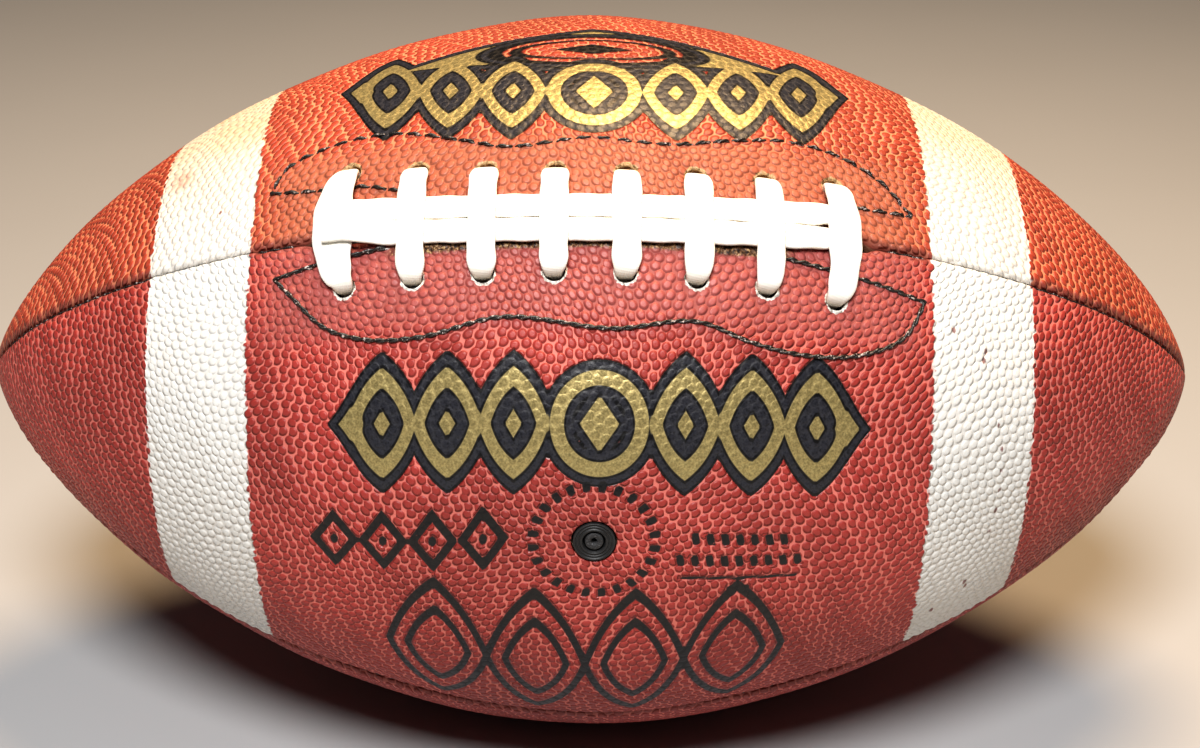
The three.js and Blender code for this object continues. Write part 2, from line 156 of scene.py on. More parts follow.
def slope_at(x):
    """The derivative of radius_at."""
    half = sizes().half_length / MM
    t = np.clip(np.abs(x) / half, 1e-6, 0.99999)
    fall = (1 - t**TAPER_POWER) ** (TIP_BLUNTNESS - 1) * t ** (TAPER_POWER - 1)
    return -HALF_GIRTH * TIP_BLUNTNESS * TAPER_POWER * fall * np.sign(x) / half


def surface(x, angle, depth):
    """Points at a depth square under the surface, pressed flat where the ball rests."""
    x, angle, depth = np.broadcast_arrays(x, angle, depth)
    slope = slope_at(x)
    scale = depth / np.hypot(1, slope)
    r = radius_at(x) - scale
    z = np.maximum(r * np.sin(angle), -AXIS_HEIGHT + np.maximum(depth, 0))
    return np.stack([x + scale * slope, -r * np.cos(angle), AXIS_HEIGHT + z], -1)


def near_lace(x, s, h):
    """Points near the lace: s is the distance from the lace seam round the ball, h the height above it."""
    x, s, h = (np.asarray(value, float) for value in (x, s, h))
    return surface(x, LACE_ANGLE + s / radius_at(x), -h)


def arc_table():
    """Distance along the surface from the middle to x, as a table of x and arc length."""
    half = sizes().half_length / MM
    x = half * np.sin(np.linspace(-np.pi / 2, np.pi / 2, 4001))
    arc = distances_along(np.stack([x, radius_at(x)], 1))
    return x, arc - arc[-1] / 2


def distances_along(points):
    return np.concatenate([[0], np.cumsum(np.linalg.norm(np.diff(points, axis=0), axis=1))])


def unit(vectors):
    return vectors / np.linalg.norm(vectors, axis=-1, keepdims=True)


def circle(count):
    """Angles evenly round a full turn."""
    return np.linspace(0, 2 * np.pi, count + 1)[:-1]


def smooth(low, high, value):
    """0 below low, 1 above high, and a smooth cubic between."""
    t = np.clip((value - low) / (high - low), 0, 1)
    return t * t * (3 - 2 * t)


# ---- Meshes ----
def mesh_object(name, points, faces, material, smooth_angle=50):
    """An object at the origin from points in millimetres and a list of faces.

    Faces that meet at less than smooth_angle degrees are shaded as one smooth surface.
    """
    mesh = bpy.data.meshes.new(name)
    mesh.from_pydata((points.reshape(-1, 3) * MM).tolist(), [], faces)
    mesh.polygons.foreach_set("use_smooth", np.ones(len(mesh.polygons), bool))
    mesh.set_sharp_from_angle(angle=math.radians(smooth_angle))
    mesh.materials.append(material)
    obj = bpy.data.objects.new(name, mesh)
    bpy.context.scene.collection.objects.link(obj)
    return obj


def settle(obj, node):
    """Fixes a piece to the ball in place of its plain node."""
    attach(obj, "root")
    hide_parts(node)


def ring_faces(rows, columns):
    """Quads joining equal closed rings of points, row after row."""
    i, j = np.meshgrid(np.arange(rows - 1), np.arange(columns), indexing="ij")
    a, b = i * columns + j, i * columns + (j + 1) % columns
    return np.stack([a, b, b + columns, a + columns], -1).reshape(-1, 4)


def points_of(mesh):
    points = np.empty(len(mesh.vertices) * 3)
    mesh.vertices.foreach_get("co", points)
    return points.reshape(-1, 3) / MM


def point_outwards(mesh):
    """Turns a closed mesh's faces outwards: its volume, summed from its triangles, is made positive."""
    mesh.calc_loop_triangles()
    corners = np.empty(len(mesh.loop_triangles) * 3, np.int32)
    mesh.loop_triangles.foreach_get("vertices", corners)
    a, b, c = points_of(mesh)[corners.reshape(-1, 3)].transpose(1, 0, 2)
    if np.einsum("ij,ij->", a, np.cross(b, c)) < 0:
        mesh.flip_normals()


def tube_object(name, rings, material, smooth_angle=50):
    """Closed bodies from rings of points shaped (count, rows, columns, 3), each with a fan at both ends."""
    count, rows, columns, _ = rings.shape
    points = np.concatenate([rings.reshape(count, -1, 3), rings[:, [0, -1]].mean(2)], 1)
    per_body = rows * columns + 2
    j = np.arange(columns)
    after, last = (j + 1) % columns, (rows - 1) * columns
    first_fan = np.stack([np.full(columns, per_body - 2), after, j], -1)
    last_fan = np.stack([np.full(columns, per_body - 1), last + j, last + after], -1)
    shift = (np.arange(count) * per_body)[:, None, None]
    quads = (ring_faces(rows, columns)[None] + shift).reshape(-1, 4)
    fans = (np.concatenate([first_fan, last_fan])[None] + shift).reshape(-1, 3)
    obj = mesh_object(name, points, quads.tolist() + fans.tolist(), material, smooth_angle)
    point_outwards(obj.data)
    return obj


def store(mesh, name, values):
    """Keeps a vector for every vertex, for the materials to read."""
    attribute = mesh.attributes.new(name, "FLOAT_VECTOR", "POINT")
    attribute.data.foreach_set("vector", np.ascontiguousarray(values, np.float32).ravel())


# ---- Lace holes, valve and stitch lines: where they are ----
def crossing_places():
    lace = lace_sizes()
    return (np.arange(lace.crossings) - (lace.crossings - 1) / 2) * lace.pitch / MM


def end_part(x):
    """0 at the middle of the lacing and 1 at its end crossings, as a square."""
    return (x / crossing_places()[-1]) ** 2


def hole_offset(x, side):
    """Distance from the seam of a hole in the lower row, where side is -1, or in the upper one."""
    left, middle, right = np.array(lace_sizes().lower_holes if side < 0 else lace_sizes().upper_holes) / MM
    t = x / crossing_places()[-1]
    return middle + ((left + right) / 2 - middle) * t**2 + (right - left) / 2 * t


def strand_middle(x):
    return lace_sizes().strand_bow / MM * end_part(x)


STRAND_START = -53.5  # x where the lace comes up to begin its long strands
STRAND_TURN = 49.4  # x where the long strands fold back
STRAND_HOLE = 2.2
VALVE_HOLE = 4.8
VALVE_X = 1.3
VALVE_ANGLE = math.radians(-1.4)


def hole_list(side):
    """Each hole of a lace panel as x, angle and radius. side is -1 under the seam and 1 over it."""
    lace = lace_sizes()
    x = crossing_places()
    holes = [(a, LACE_ANGLE + side * hole_offset(a, side) / radius_at(a), lace.hole_radius / MM) for a in x]
    if side > 0:
        s = strand_middle(STRAND_START) + lace.strand_offset / MM
        holes.append((STRAND_START, LACE_ANGLE + s / radius_at(STRAND_START), STRAND_HOLE))
    return holes


# ---- Pebbled leather ----
ROW_STEP = 0.87  # row spacing of the staggered pebbles, in pitches
DOME_REACH = 0.26  # where a pebble's dome ends, as a squared distance in pitches


def pebble_distance(u, v, ops):
    """Squared distance to the nearest pebble's centre, in pitches.

    The centres are two square-on grids, one set half a step off the other, which gives staggered rows. Each
    is moved by sines of its row and place, and the whole grid is bent by slow waves. ops gives sin, round and
    minimum: it is numpy for arrays and Field for materials.
    """
    bent_u = u + ops.sin(v * 0.23) * 0.7 + ops.sin(u * 0.19 + v * 0.31) * 0.5
    bent_v = v + ops.sin(u * 0.27) * 0.6 + ops.sin(v * 0.17 - u * 0.11) * 0.5
    nearest = None
    for shift in (0.0, 0.5):
        place = ops.round(bent_u - shift) + shift
        row = ops.round(bent_v * (0.5 / ROW_STEP) - shift) + shift
        off_u = bent_u - place - ops.sin(place * 12.99 + row * 31.7) * 0.18
        off_v = bent_v - row * (2 * ROW_STEP) - ops.sin(place * 35.3 + row * 11.14) * 0.17
        square = off_u * off_u + off_v * off_v
        nearest = square if nearest is None else ops.minimum(nearest, square)
    return nearest


def pebble_domes(place):
    """Dome heights from 0 to 1 at places given as distance along and round the panel."""
    pitch = sizes().pebble_pitch / MM
    square = pebble_distance(place[..., 0] / pitch, place[..., 1] / pitch, np)
    return np.clip(1 - square / DOME_REACH, 0, 1)


def surface_place(points, middle):
    """Distance along the ball, distance round it from a panel's middle, and that angle in mm at the girth."""
    x, arc = arc_table()
    angle = np.arctan2(points[..., 2] - AXIS_HEIGHT, -points[..., 1]) - middle
    angle = (angle + np.pi) % (2 * np.pi) - np.pi
    along = np.interp(points[..., 0], x, arc)
    return np.stack([along, angle * radius_at(points[..., 0]), angle * HALF_GIRTH], -1)


def worn_rims(side):
    """The lace holes moved a little away from the seam, so that only their outer rims are laid bare."""
    return [(x, angle + side * 0.3 / radius_at(x), radius) for x, angle, radius in hole_list(side)]


def hole_distance(points, holes):
    """Distance from each point to the axis of the nearest hole, less that hole's radius."""
    nearest = np.full(points.shape[:-1], 99.0)
    for x, angle, radius in holes:
        top, bottom = surface(x, angle, -5), surface(x, angle, 12)
        axis = unit(top - bottom)
        apart = points - top
        apart = apart - (apart @ axis)[..., None] * axis
        nearest = np.minimum(nearest, np.linalg.norm(apart, axis=-1) - radius)
    return nearest


def painted_part(x):
    """1 where a stripe crosses the ball and 0 elsewhere."""
    inner, outer = sizes().stripe_inner / MM, sizes().stripe_outer / MM
    return smooth(inner - 2, inner, np.abs(x)) * (1 - smooth(outer, outer + 2, np.abs(x)))


class Edge:
    """One long edge of a panel: half width, lip depth, roll radius and lip thickness at every station."""

    def __init__(self, x, on_lace):
        ball = sizes()
        r = radius_at(x)  # lips get shallower towards the tips and where the lace opening is
        opening = ball.slot_half_length / MM
        slot = (1 - smooth(opening - 0.5, opening + 2.5, np.abs(x))) * on_lace
        filled = painted_part(x)  # paint fills a seam, which is shallower there
        gap = ball.seam_gap * (1 - 0.8 * filled) + (ball.slot_half_width - ball.seam_gap) * slot
        shallow = ball.leather / MM + 0.3
        deep = shallow + (ball.lip / MM - shallow) * np.minimum(1, r / 30)
        self.width = r * np.pi / 4 - gap / MM
        self.lip = deep + (shallow - deep) * slot
        self.roll = np.minimum(ball.roll / MM * (1 - 0.45 * filled), 0.5 * self.width)
        self.thick = np.minimum(ball.lip_thickness / MM, 0.55 * self.width)

    def outside(self):
        """From the lip's foot up and over the rolled edge: distance from the middle, and depth."""
        rise = np.linspace(1, 0, 4)[:-1]
        turn = np.linspace(0, np.pi / 2, 7)[:-1]
        lip_depth = self.roll[:, None] + (self.lip - self.roll)[:, None] * rise
        lip_place = np.repeat(self.width[:, None], len(rise), 1)
        place = self.width[:, None] - self.roll[:, None] * (1 - np.cos(turn))
        depth = self.roll[:, None] * (1 - np.sin(turn))
        return np.hstack([lip_place, place]), np.hstack([lip_depth, depth])

    def inside(self):
        """The lip's inner corner and foot, from the panel's inner side."""
        inner = self.width - self.thick
        thick = np.full_like(inner, sizes().leather / MM)
        return np.stack([inner, inner], 1), np.stack([thick, self.lip], 1)


def panel_rings(x, lace_side, across):
    """A panel's closed section at every station: distance from its middle, depth, and a mask of its outside.

    The section runs from one lip over the pebbled face to the other lip, and back along the inner side.
    """
    low, high = Edge(x, lace_side < 0), Edge(x, lace_side > 0)
    low_place, low_depth = low.outside()
    high_place, high_depth = high.outside()
    start, end = low.roll - low.width, high.width - high.roll
    face = start[:, None] + (end - start)[:, None] * np.linspace(0, 1, across)
    inner_low, inner_low_depth = low.inside()
    inner_high, inner_high_depth = high.inside()
    inner_start, inner_end = -inner_low[:, 0], inner_high[:, 0]
    inner = inner_end[:, None] + (inner_start - inner_end)[:, None] * np.linspace(0, 1, 12)[1:-1]
    place = np.hstack([
        -low_place, face, high_place[:, ::-1], inner_high[:, ::-1], inner, -inner_low,
    ])
    depth = np.hstack([
        low_depth, np.zeros_like(face), high_depth[:, ::-1], inner_high_depth[:, ::-1],
        np.full_like(inner, sizes().leather / MM), inner_low_depth,
    ])
    outer = np.zeros(place.shape[1], bool)
    outer[: low_place.shape[1] + across + high_place.shape[1]] = True
    return place, depth, outer


UNEVENNESS = 0.16
PUCKER = 0.12
HOLE_DIMPLE = 0.42
LACE_VALLEY = 0.5
SEAM_STITCH = 3.4  # length of one stitch along a seam


def panel_relief(place, depth, points, holes, lace_panel, printed):
    """How far the outside stands proud: pebbles, seam puckers, slow unevenness and dimpled lace holes.

    printed is 1 where a mark is pressed into the leather, which flattens its pebbles.
    """
    ball = sizes()
    face = 1 - smooth(0.15 * ball.roll / MM, 0.9 * ball.roll / MM, depth)
    off_tips = 1 - smooth(132, 141, np.abs(points[..., 0]))
    relief = ball.pebble_height / MM * pebble_domes(place) * face * off_tips * (1 - 0.8 * printed)
    along, around = place[..., 0], place[..., 1]
    slow = np.sin(along * 0.061 + 1.3) * np.sin(around * 0.083) + 0.6 * np.sin(along * 0.137 + around * 0.11)
    relief += UNEVENNESS * slow * face
    seam = radius_at(points[..., 0]) * np.pi / 4 - np.abs(around)
    relief += PUCKER * np.sin(along * 2 * np.pi / SEAM_STITCH) * np.exp(-((seam / 3.2) ** 2)) * off_tips
    if holes:
        relief -= HOLE_DIMPLE * np.exp(-((np.maximum(hole_distance(points, holes), 0) / 1.3) ** 2))
    if lace_panel:
        inside = 1 - smooth(50, 64, np.abs(points[..., 0]))
        relief -= LACE_VALLEY * np.exp(-((seam / 6.5) ** 2)) * inside
    return relief


# ---- Marks on the panels: distances in millimetres, below 0 inside a mark ----
def lozenge(x, y, wide, high):
    """(|x| / wide + |y| / high - 1) times wide * high / hypot(wide, high)."""
    return (np.abs(x) / wide + np.abs(y) / high - 1) * (wide * high / math.hypot(wide, high))


def bar(x, y, wide, high):
    """The larger of |x| - wide and |y| - high."""
    return np.maximum(np.abs(x) - wide, np.abs(y) - high)


def oval(x, y, wide, high):
    """(sqrt((x / wide)^2 + (y / high)^2) - 1) times the smaller radius."""
    return (np.hypot(x / wide, y / high) - 1) * min(wide, high)


def outline(distance, half_width):
    return np.abs(distance) - half_width


def smallest(*distances):
    return np.minimum.reduce(np.broadcast_arrays(*distances))


def rounded(first, second, soft):
    """The smaller of two distances, with the corner between them filled over a length soft."""
    part = np.maximum(soft - np.abs(first - second), 0) / soft
    return np.minimum(first, second) - part * part * soft / 4


def repeated(x, pitch, count):
    """x measured from the nearest of count places a pitch apart, centred on 0."""
    limit = (count - 1) / 2
    place = np.clip(np.round(x / pitch - limit) + limit, -limit, limit)
    return x - place * pitch


def leaf(x, y, wide, high):
    """A pointed oval: half of an oval's distance and half of the distance to a larger lozenge round it."""
    return (oval(x, y, wide, high) + lozenge(x, y, wide * 1.32, high * 1.32)) / 2


def gold_band(x, y):
    """A ring and a lozenge in the middle, three hollow leaves on both sides and a point at each end."""
    centre = smallest(outline(oval(x, y, 8.6, 9.4), 1.4), lozenge(x, y, 4.0, 5.8))
    cell = repeated(np.abs(x) - 31.0, 13.6, 3)
    leaves = smallest(outline(leaf(cell, y, 5.2, 8.4), 1.15), lozenge(cell, y, 1.7, 2.9))
    ends = lozenge(np.abs(x) - 51.2, y, 2.6, 3.2)
    return smallest(centre, rounded(leaves, ends, 1.5))


def front_marks(x, y):
    """The front panel's gold and black. y runs up from the panel's middle line, x along the ball."""
    bow = (x / 51) ** 2
    gold = gold_band(x - 2.2, (y - 23.6 + bow * 2.2) * (1 - bow * 0.10))
    left, left_y = x + 37.5, y + 5.2 - (x + 37.5) * 0.17
    cell = repeated(left, 10.6, 4)
    ink = smallest(outline(lozenge(cell, left_y, 4.3, 6.4), 0.95), oval(cell, left_y, 0.9, 1.4))
    right, right_y = x - 31.5, y + 9.6 + (x - 31.5) * 0.13
    for height, count in ((6.4, 7), (1.0, 9)):
        lean = right + (right_y - height) * 0.2
        ink = smallest(ink, bar(repeated(lean, 3.1, count), right_y - height, 0.85, 1.45))
    ink = smallest(
        ink, bar(right, right_y + 3.4, 12.6, 0.45), bar(repeated(right, 3.1, 2), right_y + 6.8, 0.85, 1.4),
    )
    row = repeated(x + 0.5, 21.2, 4)
    tall = leaf(row, y + 37.0, 9.2, 19.0)
    ink = smallest(ink, outline(tall, 0.8), outline(tall + 3.8, 0.75))
    across, up = x - VALVE_X, y - VALVE_ANGLE * HALF_GIRTH
    ring = 12.6
    around = np.arctan2(up, across) * ring
    dashes = bar(np.mod(around, ring * 2 * np.pi / 24) - 1.65, np.hypot(across, up) - ring, 0.85, 1.2)
    return gold, smallest(ink, dashes)


def top_marks(x, y):
    """The top panel's gold and black: an arched band, and a crest above it."""
    bow = (x / 51) ** 2
    gold = gold_band(0.5 - x, -(y + 31.5 - bow * 13) * (1 - bow * 0.28))
    crest_y = y + 13.5
    wings = np.maximum(lozenge(x, crest_y, 42, 10.5), -oval(x, crest_y, 26, 9.0))
    rings = smallest(outline(oval(x, crest_y, 21.5, 7.0), 0.6), outline(oval(x, crest_y, 17, 4.8), 0.45))
    return smallest(gold, wings), smallest(rings, lozenge(x, crest_y, 9, 2.6))


MARKS = {"front_panel": front_marks, "top_panel": top_marks}


def stripe_stains_and_warm_light(name, x, seam):
    """Specks on the stripes as a distance, and their yellowing and smudges as amounts from 0 to 1. On the top
    panel the yellowing is a real stain together with painted warm light that grows towards the top.
    """
    if name == "front_panel":
        places = (
            (76.6, 15, 0.5), (84, 18, 0.45), (83.6, 20, 0.5),
            (87.5, 33, 0.4), (88.4, 38, 0.45), (88.8, 43, 0.4),
        )
        specks = smallest(*(np.hypot(x - a, (seam - b) * 0.6) - size for a, b, size in places))
        return specks, np.zeros_like(x), np.zeros_like(x)
    specks = np.hypot(x + 80, (seam - 11.6) * 0.6) - 0.4
    yellow = 1 - smooth(-3.0, 8.0, oval(x + 78.5, seam - 40, 11, 9))
    smudge = 1 - smooth(-1.5, 1.5, oval(x + 92, seam - 26, 3.0, 3.6))
    # Painted warm light: the top panel's stripe turns creamier towards the top of the ball.
    painted_warm_light = 0.15 + 0.75 * smooth(0.0, 50.0, seam)
    return specks, np.maximum(yellow, painted_warm_light), smudge


def cut_round(obj, holes):
    """Cuts true round holes square to the surface, from 6 above it to 14 under it, into the mesh itself."""
    turn = circle(28)
    rings = []
    for x, angle, radius in holes:
        top, bottom = Vector(surface(x, angle, -6)), Vector(surface(x, angle, 14))
        side = (top - bottom).normalized().cross(Vector((1, 0, 0))).normalized()
        other = (top - bottom).normalized().cross(side)
        ring = radius * (np.outer(np.cos(turn), side) + np.outer(np.sin(turn), other))
        rings.append([np.array(end) + ring for end in (bottom, top)])
    cutter = tube_object("hole_cutter", np.array(rings), obj.data.materials[0])
    cut = obj.modifiers.new("holes", "BOOLEAN")
    cut.operation = "DIFFERENCE"
    cut.solver = "MANIFOLD"
    cut.object = cutter
    depsgraph = bpy.context.evaluated_depsgraph_get()
    finished = bpy.data.meshes.new_from_object(obj.evaluated_get(depsgraph))
    obj.modifiers.remove(cut)
    obj.data = finished
    bpy.data.objects.remove(cutter)


# The angle of each panel's middle in degrees, and 1 or -1 where the lace is at its upper or lower edge.
PANELS = {"front_panel": (0, 1), "top_panel": (90, -1), "rear_panel": (180, 0), "bottom_panel": (270, 0)}
TIP_GAP = 0.02  # the stations stop this far from the tips, and fans close the ends


def make_panel(name, material):
    """One leather panel: its section carried along the ball, raised by its relief, with its holes cut."""
    degrees, lace_side = PANELS[name]
    middle, side = math.radians(degrees), -lace_side
    seen = lace_side != 0
    stations, across = (470, 176) if seen else (400, 150)
    table_x, table_arc = arc_table()
    reach = np.interp(sizes().half_length / MM - TIP_GAP, table_x, table_arc)
    x = np.interp(np.linspace(-reach, reach, stations), table_arc, table_x)
    place, depth, outer = panel_rings(x, lace_side, across)
    angle = middle + place / radius_at(x)[:, None]
    flat = surface(x[:, None], angle, 0 * depth)
    holes = hole_list(side) if seen else []
    if name == "front_panel":
        holes.append((VALVE_X, VALVE_ANGLE, VALVE_HOLE))
    place_there = surface_place(flat, middle)
    printed = np.zeros_like(depth)
    if seen:
        gold, ink = MARKS[name](flat[..., 0], place_there[..., 2])
        printed = 1 - smooth(0.2, 0.9, np.minimum(gold - 1.9, ink))
    relief = panel_relief(place_there, depth, flat, holes, seen, printed)
    points = surface(x[:, None], angle, depth - np.where(outer, relief, 0))
    points[..., 2] = np.maximum(points[..., 2], 0)
    obj = tube_object(name + "_leather", points[None], material, 70)
    if holes:
        cut_round(obj, holes)
    points = points_of(obj.data)
    place_there = surface_place(points, middle)
    store(obj.data, "place", place_there)
    x = points[:, 0]
    r = np.hypot(points[:, 1], points[:, 2] - AXIS_HEIGHT)
    below = (radius_at(x) - r) / np.hypot(1, slope_at(x))
    rim = hole_distance(points, worn_rims(side)) if seen else np.full(len(x), 99.0)
    seam = radius_at(x) * np.pi / 4 - np.abs(place_there[:, 1])
    # Distance to a worn hole rim, depth under the surface and distance from the seam: for bare rims and for
    # the painted seam shade.
    store(obj.data, "wear_and_seam_shade", np.stack([rim, below, seam], -1))
    if seen:
        specks, yellow, smudge = stripe_stains_and_warm_light(name, x, seam)
        store(obj.data, "marks", np.stack([*MARKS[name](x, place_there[:, 2]), specks], -1))
        # The yellowing here holds both a stain and painted warm light.
        store(obj.data, "stains_and_warm_light", np.stack([yellow, smudge, np.zeros_like(x)], -1))
    settle(obj, name)


# ---- Lace ----
HOLE_WIDTH = 4.1
HOLE_THICK = 2.2
INSIDE_HEIGHT = -6.5
CROSSING_HEIGHT = 2.6
PRESSED_HEIGHT = 1.85  # the left end crossing, where the strand's end laps over it
STRAND_HEIGHT = 1.0


def crossing_route(x):
    """One crossing, from its upper hole over both strands to its lower hole.

    Each row is x, s, height, turn, width and thickness. turn is in degrees from X towards the way round. The
    end crossings bulge outwards and lie flatter there.
    """
    lace = lace_sizes()
    width, thick = lace.width / MM, lace.thickness / MM
    low, high, middle = -hole_offset(x, -1), hole_offset(x, 1), strand_middle(x)
    is_end = abs(x) > crossing_places()[-2] + 1
    bulge, spread = ((2.0, 3.2) if x < 0 else (1.0, 1.4)) if is_end else (0, 0)
    over = PRESSED_HEIGHT if x < 0 and is_end else CROSSING_HEIGHT

    def at(s, h, width_there=width):
        bow = 1 - (s / (low if s < 0 else high)) ** 2
        return [x + np.sign(x) * bulge * bow, s, h, 0, width_there + spread * bow * bow, thick]

    def through(s):
        return [[x - 0.2, s, h, 0, HOLE_WIDTH, HOLE_THICK] for h in (-5.7, -3, -0.6)]

    return [
        *through(high), [x - 0.1, high - 0.4, 0.7, 0, 5.0, 1.5],
        at(high - 1.8, 1.5, width - 0.1), at(high - 4.2, 2.2), at(middle + 3.4, CROSSING_HEIGHT),
        at(middle + 0.6, CROSSING_HEIGHT), at(middle - 2.4, (CROSSING_HEIGHT + over) / 2),
        at(middle - 5.0, over), at(low + 4.2, min(over, 2.2)), at(low + 1.8, 1.5, width - 0.1),
        [x - 0.1, low + 0.4, 0.7, 0, 5.0, 1.5], *through(low)[::-1],
    ]


def inside_route(start, end):
    """Under the facings, from one crossing's lower hole to the next one's upper hole."""
    (xa, sa), (xb, sb) = start, end
    width = lace_sizes().width / MM - 1.2
    return [[xa + (xb - xa) * t, sa + (sb - sa) * t, INSIDE_HEIGHT, 0, width, 1.1] for t in (0.14, 0.5, 0.86)]


def strand_point(x, side, h):
    """A place on the upper long strand, where side is 1, or on the lower one."""
    lace = lace_sizes()
    s = strand_middle(x) + side * lace.strand_offset / MM
    return [x, s, h, 90 * side, lace.strand_width / MM, lace.thickness / MM]


def lace_route():
    """The whole cord from its inner end: every crossing, the upper strand, the turn and the lower strand."""
    lace = lace_sizes()
    thick = lace.thickness / MM
    offset = lace.strand_offset / MM
    order = crossing_places()[::-1]
    route = []
    for here, after in zip(order, order[1:]):
        route += crossing_route(here)
        route += inside_route((here, -hole_offset(here, -1)), (after, hole_offset(after, 1)))
    first = order[-1]
    route += crossing_route(first)
    up, x0, s0 = strand_middle(STRAND_START) + offset, first, -hole_offset(first, -1)
    route += [  # from the last hole to the strands' own hole, and up through it
        [x0 - 0.3, s0 + 1.5, INSIDE_HEIGHT + 0.2, 0, 3.8, 1.2], [x0 - 1, s0 + 5, INSIDE_HEIGHT, 0, 4.0, 1.2],
        [STRAND_START + 0.2, up - 5, INSIDE_HEIGHT, 0, 3.4, 1.3],
        [STRAND_START, up - 1.4, INSIDE_HEIGHT + 0.3, 0, 3.0, 1.3],
        [STRAND_START, up, INSIDE_HEIGHT + 1.8, 9, 2.8, 1.5], [STRAND_START, up, -2.6, 45, 2.8, 1.5],
        [STRAND_START, up, -1.0, 81, 2.8, 1.5], [STRAND_START + 0.6, up, 0.35, 90, 3.0, 1.4],
        [STRAND_START + 2.4, up - 0.1, STRAND_HEIGHT, 90, 4.2, thick],
    ]
    stops = [-47, -37, -27, -16, -5, 5, 16, 27, 37, 45]
    route += [strand_point(x, 1, STRAND_HEIGHT) for x in stops]
    for degrees in (90, 60, 30, 0, -30, -60, -90):
        turn = math.radians(degrees)
        s = strand_middle(STRAND_TURN) + offset * math.sin(turn)
        route.append([STRAND_TURN + offset * math.cos(turn), s, STRAND_HEIGHT, degrees, 4.7, thick])
    route += [strand_point(x, -1, STRAND_HEIGHT) for x in stops[:0:-1]]
    route += [  # the end, climbing over the left end crossing
        strand_point(x, -1, h)
        for x, h in ((-43.5, STRAND_HEIGHT + 0.2), (-46.2, 2.5), (-48.6, 3.4), (-52, 3.5), (-54.2, 3.45))
    ]
    return np.array(route, float)


def smooth_line(knots, points, step):
    """A cubic curve through rows of numbers, sloped by their neighbours, at even steps of its knots."""
    at = np.arange(knots[0], knots[-1], step)
    at = np.append(at, knots[-1])
    span = np.clip(np.searchsorted(knots, at, side="right") - 1, 0, len(knots) - 2)
    slopes = np.gradient(points, knots, axis=0)
    gap = (knots[span + 1] - knots[span])[:, None]
    t = (at - knots[span])[:, None] / gap
    a, b = points[span], points[span + 1]
    bend = (2 * t**3 - 3 * t**2 + 1) * a + (3 * t**2 - 2 * t**3) * b
    lean = (t**3 - 2 * t**2 + t) * slopes[span] + (t**3 - t**2) * slopes[span + 1]
    return bend + lean * gap


def cord_section(columns):
    """A flat cord's section with rounded edges: 2|u| is |cos| to the power 0.5, 2|v| is |sin| to the 0.62."""
    c, s = np.cos(circle(columns)), np.sin(circle(columns))
    return 0.5 * np.sign(c) * np.abs(c) ** 0.5, 0.5 * np.sign(s) * np.abs(s) ** 0.62


def make_lace(material):
    """One continuous flat cord: its section carried along the smoothed route and turned as the route says."""
    route = lace_route()
    knots = distances_along(near_lace(*route[:, :3].T))
    line = smooth_line(knots, route, 0.5)
    x, s, h, turn, width, thick = line.T
    centres = near_lace(x, s, h)
    tangent = unit(np.gradient(centres, axis=0))
    along_x = unit(near_lace(x + 0.5, s, h) - near_lace(x - 0.5, s, h))
    round_ball = unit(near_lace(x, s + 0.5, h) - near_lace(x, s - 0.5, h))
    turn = np.radians(turn)[:, None]
    wide = along_x * np.cos(turn) + round_ball * np.sin(turn)
    wide = unit(wide - (wide * tangent).sum(1, keepdims=True) * tangent)
    flat = np.cross(tangent, wide)
    u, v = cord_section(20)
    run = distances_along(centres)
    crease = 1 + 0.03 * np.sin(run * 0.9) + 0.02 * np.sin(run * 0.37 + 1)
    across = (u * (width * crease)[:, None])[..., None] * wide[:, None]
    through = (v * thick[:, None])[..., None] * flat[:, None]
    rings = centres[:, None] + across + through
    obj = tube_object("lace_cord", rings[None], material, 80)
    place = np.stack(np.broadcast_arrays(run[:, None], u * width[:, None], h[:, None]), -1).reshape(-1, 3)
    store(obj.data, "route", np.concatenate([place, place[[0, -1]]]))
    settle(obj, "lace")


# ---- Threads ----
def twisted_thread(name, line, heights, material, radius, twist, sides=7):
    """Two plies twisted together: circles carried round helices about a line on the ball.

    line holds x and angle in rows, heights the height over the surface, and twist is the length of a turn.
    """
    centres = surface(line[:, 0], line[:, 1], -heights)
    run = distances_along(centres)
    tangent = unit(np.gradient(centres, axis=0))
    up = unit(surface(line[:, 0], line[:, 1], -heights - 1) - centres)
    side = unit(np.cross(tangent, up))
    up = np.cross(side, tangent)
    ply = radius * 0.56
    round_ply = circle(sides)[:, None]
    plies = []
    for start in (0, np.pi):
        turn = start + run * 2 * np.pi / twist
        middle = centres + (radius - ply) * (np.cos(turn)[:, None] * side + np.sin(turn)[:, None] * up)
        ring = np.cos(round_ply) * side[:, None] + np.sin(round_ply) * up[:, None]
        plies.append(middle[:, None] + ply * ring)
    return tube_object(name, np.array(plies), material, 80)


# Each stitch line runs out from the lace, round the facing's outer edge and back: x, distance from the seam.
STITCHING = {
    -1: (
        [(-40.5, 3.8), (-44, 4.1), (-48, 4.6), (-57, 5.8), (-66, 7.5)],
        [(-66, 7.5), (-61.5, 12.5), (-54.5, 19.5), (-45.5, 23), (-34.5, 23.5), (-19, 20.5), (5, 23), (23, 21),
         (32.5, 24), (43, 25.5), (55.5, 24), (65.5, 18.5), (70, 10.5)],
        [(70, 10.5), (59, 8.4), (48, 6.8), (39, 5.6)],
    ),
    1: (
        [(-38.5, 9.2), (-41.5, 9.6), (-46, 11), (-58, 12), (-68.5, 13.5)],
        [(-68.5, 13.5), (-65, 20), (-57, 23.5), (-44, 25), (-26, 20.5), (-19.5, 18.5), (0, 20), (16, 19),
         (31.5, 22), (41, 23.3), (52.5, 21.5), (61.5, 16.5), (68, 9)],
        [(68, 9), (60, 8.6), (52, 8.4)],
    ),
}


